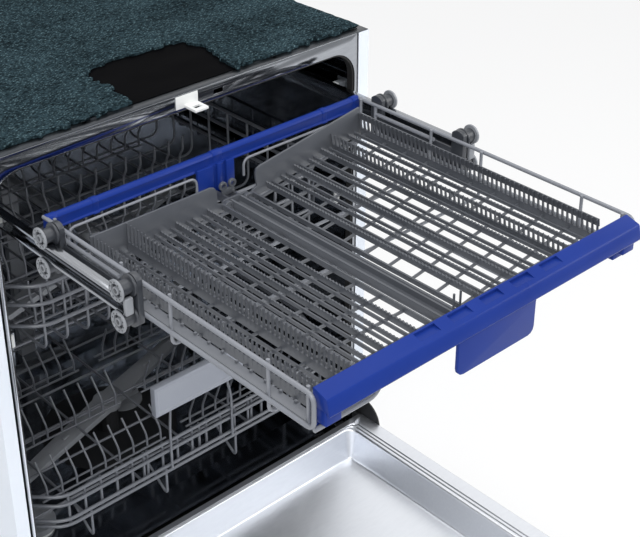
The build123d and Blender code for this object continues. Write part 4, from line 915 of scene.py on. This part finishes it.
def grid_moulding(name, rows, banded):
    """One grid, lying flat on the right. Its combs stand at places across it, with levels of foot, shoulder
    and tip; a banded one has a strip along its outer comb and a hinge tube."""
    y = (grid_y[0] + front_gap, grid_y[1])
    pieces = [slab(grid_x, (grid_y[0], y[0] + 1), (grid_high - 1.6, grid_high + 1))]
    for x in notched_x:
        pieces.append(toothed(x, 2.0, y, rib_low, grid_high, notch_pitch, 1.0))
    for x in plain_x:
        pieces.append(slab((x - 0.9, x + 0.9), y, (rib_low, grid_high - 1.6)))
    for x in raised_x:
        pieces.append(toothed(x, 2.2, (y[0], y[1] - wall_thick), rib_low, grid_high + 3, notch_pitch, 1.8))
    pieces.append(slab((grid_x[0], grid_x[0] + 2.2), y, (cross_low, grid_high)))
    for x, foot, shoulder, tip in rows:
        pieces += comb(x, (y[0], y[1] - 4), foot, shoulder, tip, comb_pitch)
    if banded:
        pieces.append(slab((x + 1.2, x + 2.6), y, (tip - 9.5, tip)))
        tube = [(pivot_x, grid_y[0], pivot_z), (pivot_x, y[1], pivot_z)]
        pieces.append(wires("tube", [tube], across=4.6, corner=1))
    for place in spaced(y[0] + 4, y[1] - 14, 11):
        pieces.append(slab(grid_x, (place - 1.1, place + 1.1), (cross_low, grid_high - 4)))
    wall = [(grid_x[0], grid_low), (grid_x[1], grid_low), (grid_x[1], comb_tip), (40, comb_tip),
            (34.6, 726.4), (32, 722), (31, 716), (31, 704), (grid_x[0], grid_high)]
    pieces.append(rounded(drawn("wall", wall, "Y", (y[1] - wall_thick, y[1])), 0.6))
    eye = [(0, 3.1), (0, 5.4), (0.6, 6), (4.6, 6), (5.2, 5.4), (5.2, 3.1), (0, 3.1)]
    for place in (y[1] - eye_length, grid_y[0]):
        pieces.append(turned("eye", eye, "Y", at(pivot_x, place, pivot_z), steps=28))
        pieces.append(slab((pivot_x + 4.5, grid_x[0] + 3), (place, place + eye_length), (pivot_z, 699.9)))
    return fused(pieces, name)


tall = (cross_low, grid_high + 5, comb_tip)
left = grid_moulding("left", ((160.2, *tall), (203.8, *tall)), False)
left.data.transform(Matrix.Scale(-1, 4, (1, 0, 0)))
left.data.flip_normals()
low_rows = ((154.5, rib_low, grid_high + 1.5, comb_tip - 12), (204.5, grid_low, grid_high, comb_tip - 7))
right = grid_moulding("right", low_rows, True)
pivot = at(pivot_x, 0, pivot_z)
tilt = Matrix.Rotation(math.radians(-raised), 4, "Y")
right.data.transform(Matrix.Translation(pivot) @ tilt @ Matrix.Translation(-pivot))
fitted(left, "left_grid_moulding", grid_grey, "left_tray", "grid_plastic", "left_grid", "left_combs")
fitted(right, "right_grid_moulding", grid_grey, "right_tray", "grid_plastic", "right_grid", "right_combs")


# Door liner. A deep stainless pressing: a flat rim with two beads, and a recess with drafted walls and tight
# corners. Its edge is turned down over the outer panel, and it is slotted for the striker.
def rim_ring(half, front, rear, corner, level):
    """Rounded rectangle of points at a level, in millimetres."""
    points, count = [], 9
    for number, (x, y) in enumerate(((half, rear), (-half, rear), (-half, front), (half, front))):
        middle = (x - math.copysign(corner, x), y + (-corner if y == rear else corner))
        for i in range(count):
            turn = math.radians(90 * number + 90 * i / (count - 1))
            points.append(at(middle[0] + corner * math.cos(turn), middle[1] + corner * math.sin(turn), level))
    return points


# ferritic stainless, satin rolled: bright, with reflections drawn out to soft bands
liner_stainless = rolled_metal("satin_stainless", "#dfe2e8", "#e8ebf0", 0.33, (1, 4, 4))
door_low, door_high = limits("door_liner")
rim, depth = door_high[2], door_high[2] - door_low[2] - 0.8
rim_corner, recess_corner, rim_side, rim_tip, rim_hinge = 5, 15, 36, 35, 20
press_draft, sheet_thick = 10, 0.0007
edge = (door_high[0], door_low[1], door_high[1], rim_corner)
mouth = (edge[0] - rim_side, edge[1] + rim_tip, -rim_hinge, recess_corner)
rings = []
# the rim with its two beads, out to in
for share, drop in ((0, 1.2), (0.03, 0), (0.6, 0), (0.64, 1.4), (0.68, 1.4), (0.72, 0), (0.77, 0),
                    (0.81, 1.4), (0.85, 1.4), (0.89, 0), (0.95, 0.2), (0.98, 0.8), (1.0, 1.8)):
    half, front, rear, corner = (a + (b - a) * share for a, b in zip(edge, mouth))
    rings.append(rim_ring(half, front, rear, corner, rim - drop))
# the recess's wall, and the bend into its floor
for share, drop in ((0.06, 4), (0.9, depth - 5), (0.97, depth - 1.8), (1.08, depth - 0.4), (1.2, depth)):
    shrink = share * depth * math.tan(math.radians(press_draft))
    rings.append(rim_ring(mouth[0] - shrink, mouth[1] + shrink, mouth[2] - shrink, mouth[3] - shrink,
                          rim - drop))
count = len(rings[0])
faces = [[row * count + i, row * count + (i + 1) % count, (row + 1) * count + (i + 1) % count,
          (row + 1) * count + i] for row in range(len(rings) - 1) for i in range(count)]
faces.append([(len(rings) - 1) * count + i for i in range(count)])
liner = shaped("liner", [point for row in rings for point in row], (), faces)
edited(liner, (bpy.ops.mesh.normals_make_consistent, {"inside": False}))
if liner.data.polygons[-1].normal.z < 0:
    liner.data.flip_normals()
applied(liner, "SOLIDIFY", thickness=sheet_thick, offset=-1)
latch_low, latch_high = limits("door_latch")
latch_y = (latch_low[1] + latch_high[1]) / 2
pierced(liner, slab((-16, 16), (latch_y - 8, latch_y + 8), (rim - 6, rim + 6)))
fitted(smooth(liner, 40), "door_liner_pressing", liner_stainless, "door", "stainless", "door_liner")


# Door fittings. The control strip along the top edge, the dispenser with its lid, the rinse aid cap and two
# push buttons: ABS and acetal mouldings with rounded edges, screwed or snapped into the door.
# silver-grey ABS, as moulded: pale and half matt
silver_abs = moulded("silver_grey_abs", "#b9bbbe", "#c6c8ca", 0.35)
eased("control_strip", 0.8, "control_strip_moulding", silver_abs, "door", "panel_plastic")
eased("dispenser", 1.0, "dispenser_moulding", grey_acetal, "door", "grey_plastic")
eased("detergent_lid", 0.6, "detergent_lid_moulding", grey_acetal, "lid", "grey_plastic")
eased("rinse_cap", 0.8, "rinse_cap_moulding", black_polypropylene, "rinse", "dark_plastic")
coat(black_polypropylene, "button_1", "button_2")


# Studio. A pale floor, a plain white surround and soft lamps, with the camera where the photograph was taken
# from.
def studio_paper(name, colour):
    """Matt paper that shows near white to the camera, and still takes a faint shadow."""
    material, shader, place = blank_finish(name, Roughness=0.9)
    fibre_mm = 3.3333
    fibre = add_node(material, "ShaderNodeTexNoise", {"Vector": place, "Scale": 1000 / fibre_mm})
    tint = add_node(material, "ShaderNodeMix", {0: fibre.outputs["Fac"], 6: linear(colour),
                                                7: linear("#ffffff")}, data_type="RGBA")
    join_up(material, shader, Base_Color=tint.outputs[2])
    rays = add_node(material, "ShaderNodeLightPath", {})
    share = add_node(material, "ShaderNodeMath", {0: rays.outputs["Is Camera Ray"], 1: 0.75},
                     operation="MULTIPLY")
    glow = add_node(material, "ShaderNodeEmission", {"Color": (1, 1, 1, 1), "Strength": 1.0})
    shown = add_node(material, "ShaderNodeMixShader", {0: share.outputs["Value"], 1: shader.outputs[0],
                                                       2: glow.outputs[0]})
    join_up(material, material.node_tree.nodes["Material Output"], Surface=shown.outputs[0])
    return material


# matt white paper: no shine, and only a faint shadow
bpy.ops.mesh.primitive_plane_add(size=14)
floor = bpy.context.object
floor.name = "studio_floor"
floor.data.materials.append(studio_paper("matt_paper", "#f4f4f4"))

world = bpy.data.worlds.new("studio_surround")
bpy.context.scene.world = world
world.use_nodes = True
paper = world.node_tree.nodes["Background"]
paper.inputs["Color"].default_value = linear("#f2f4f7")
paper.inputs["Strength"].default_value = 0.55
rays = add_node(world, "ShaderNodeLightPath", {})
white = add_node(world, "ShaderNodeBackground", {"Color": (1, 1, 1, 1), "Strength": 1.0})
seen = add_node(world, "ShaderNodeMath", {0: rays.outputs["Is Camera Ray"], 1: rays.outputs["Is Glossy Ray"]},
                operation="MAXIMUM")
shown = add_node(world, "ShaderNodeMixShader", {0: seen.outputs["Value"], 1: paper.outputs[0],
                                                2: white.outputs[0]})
join_up(world, world.node_tree.nodes["World Output"], Surface=shown.outputs[0])


def softbox(name, place, aim, size, power):
    """Square soft lamp at a place, turned to an aim."""
    bpy.ops.object.light_add(type="AREA", location=place)
    lamp = bpy.context.object
    lamp.name = name
    lamp.data.size = size
    lamp.data.energy = power
    lamp.rotation_euler = (Vector(aim) - Vector(place)).to_track_quat("-Z", "Y").to_euler()


lit_place = (0.0, -0.2, 0.5)
softbox("key_softbox", (-1.6, -1.7, 2.6), lit_place, 1.6, 52)
softbox("fill_softbox", (1.9, -1.5, 1.6), lit_place, 1.6, 26)
softbox("top_softbox", (0.2, 0.0, 2.8), (0.0, -0.1, 0.6), 1.8, 18)

eye, sight = Vector((-0.8819, -1.12785, 1.467)), Vector((0.5967, 0.6486, -0.4726))
bpy.ops.object.camera_add(location=eye)
camera = bpy.context.object
camera.data.sensor_width = 36
camera.data.lens = 75.74
camera.data.shift_y = -0.123
camera.data.clip_start = 0.05
camera.rotation_euler = sight.to_track_quat("-Z", "Y").to_euler()
scene = bpy.context.scene
scene.camera = camera
scene.view_settings.view_transform = "Standard"
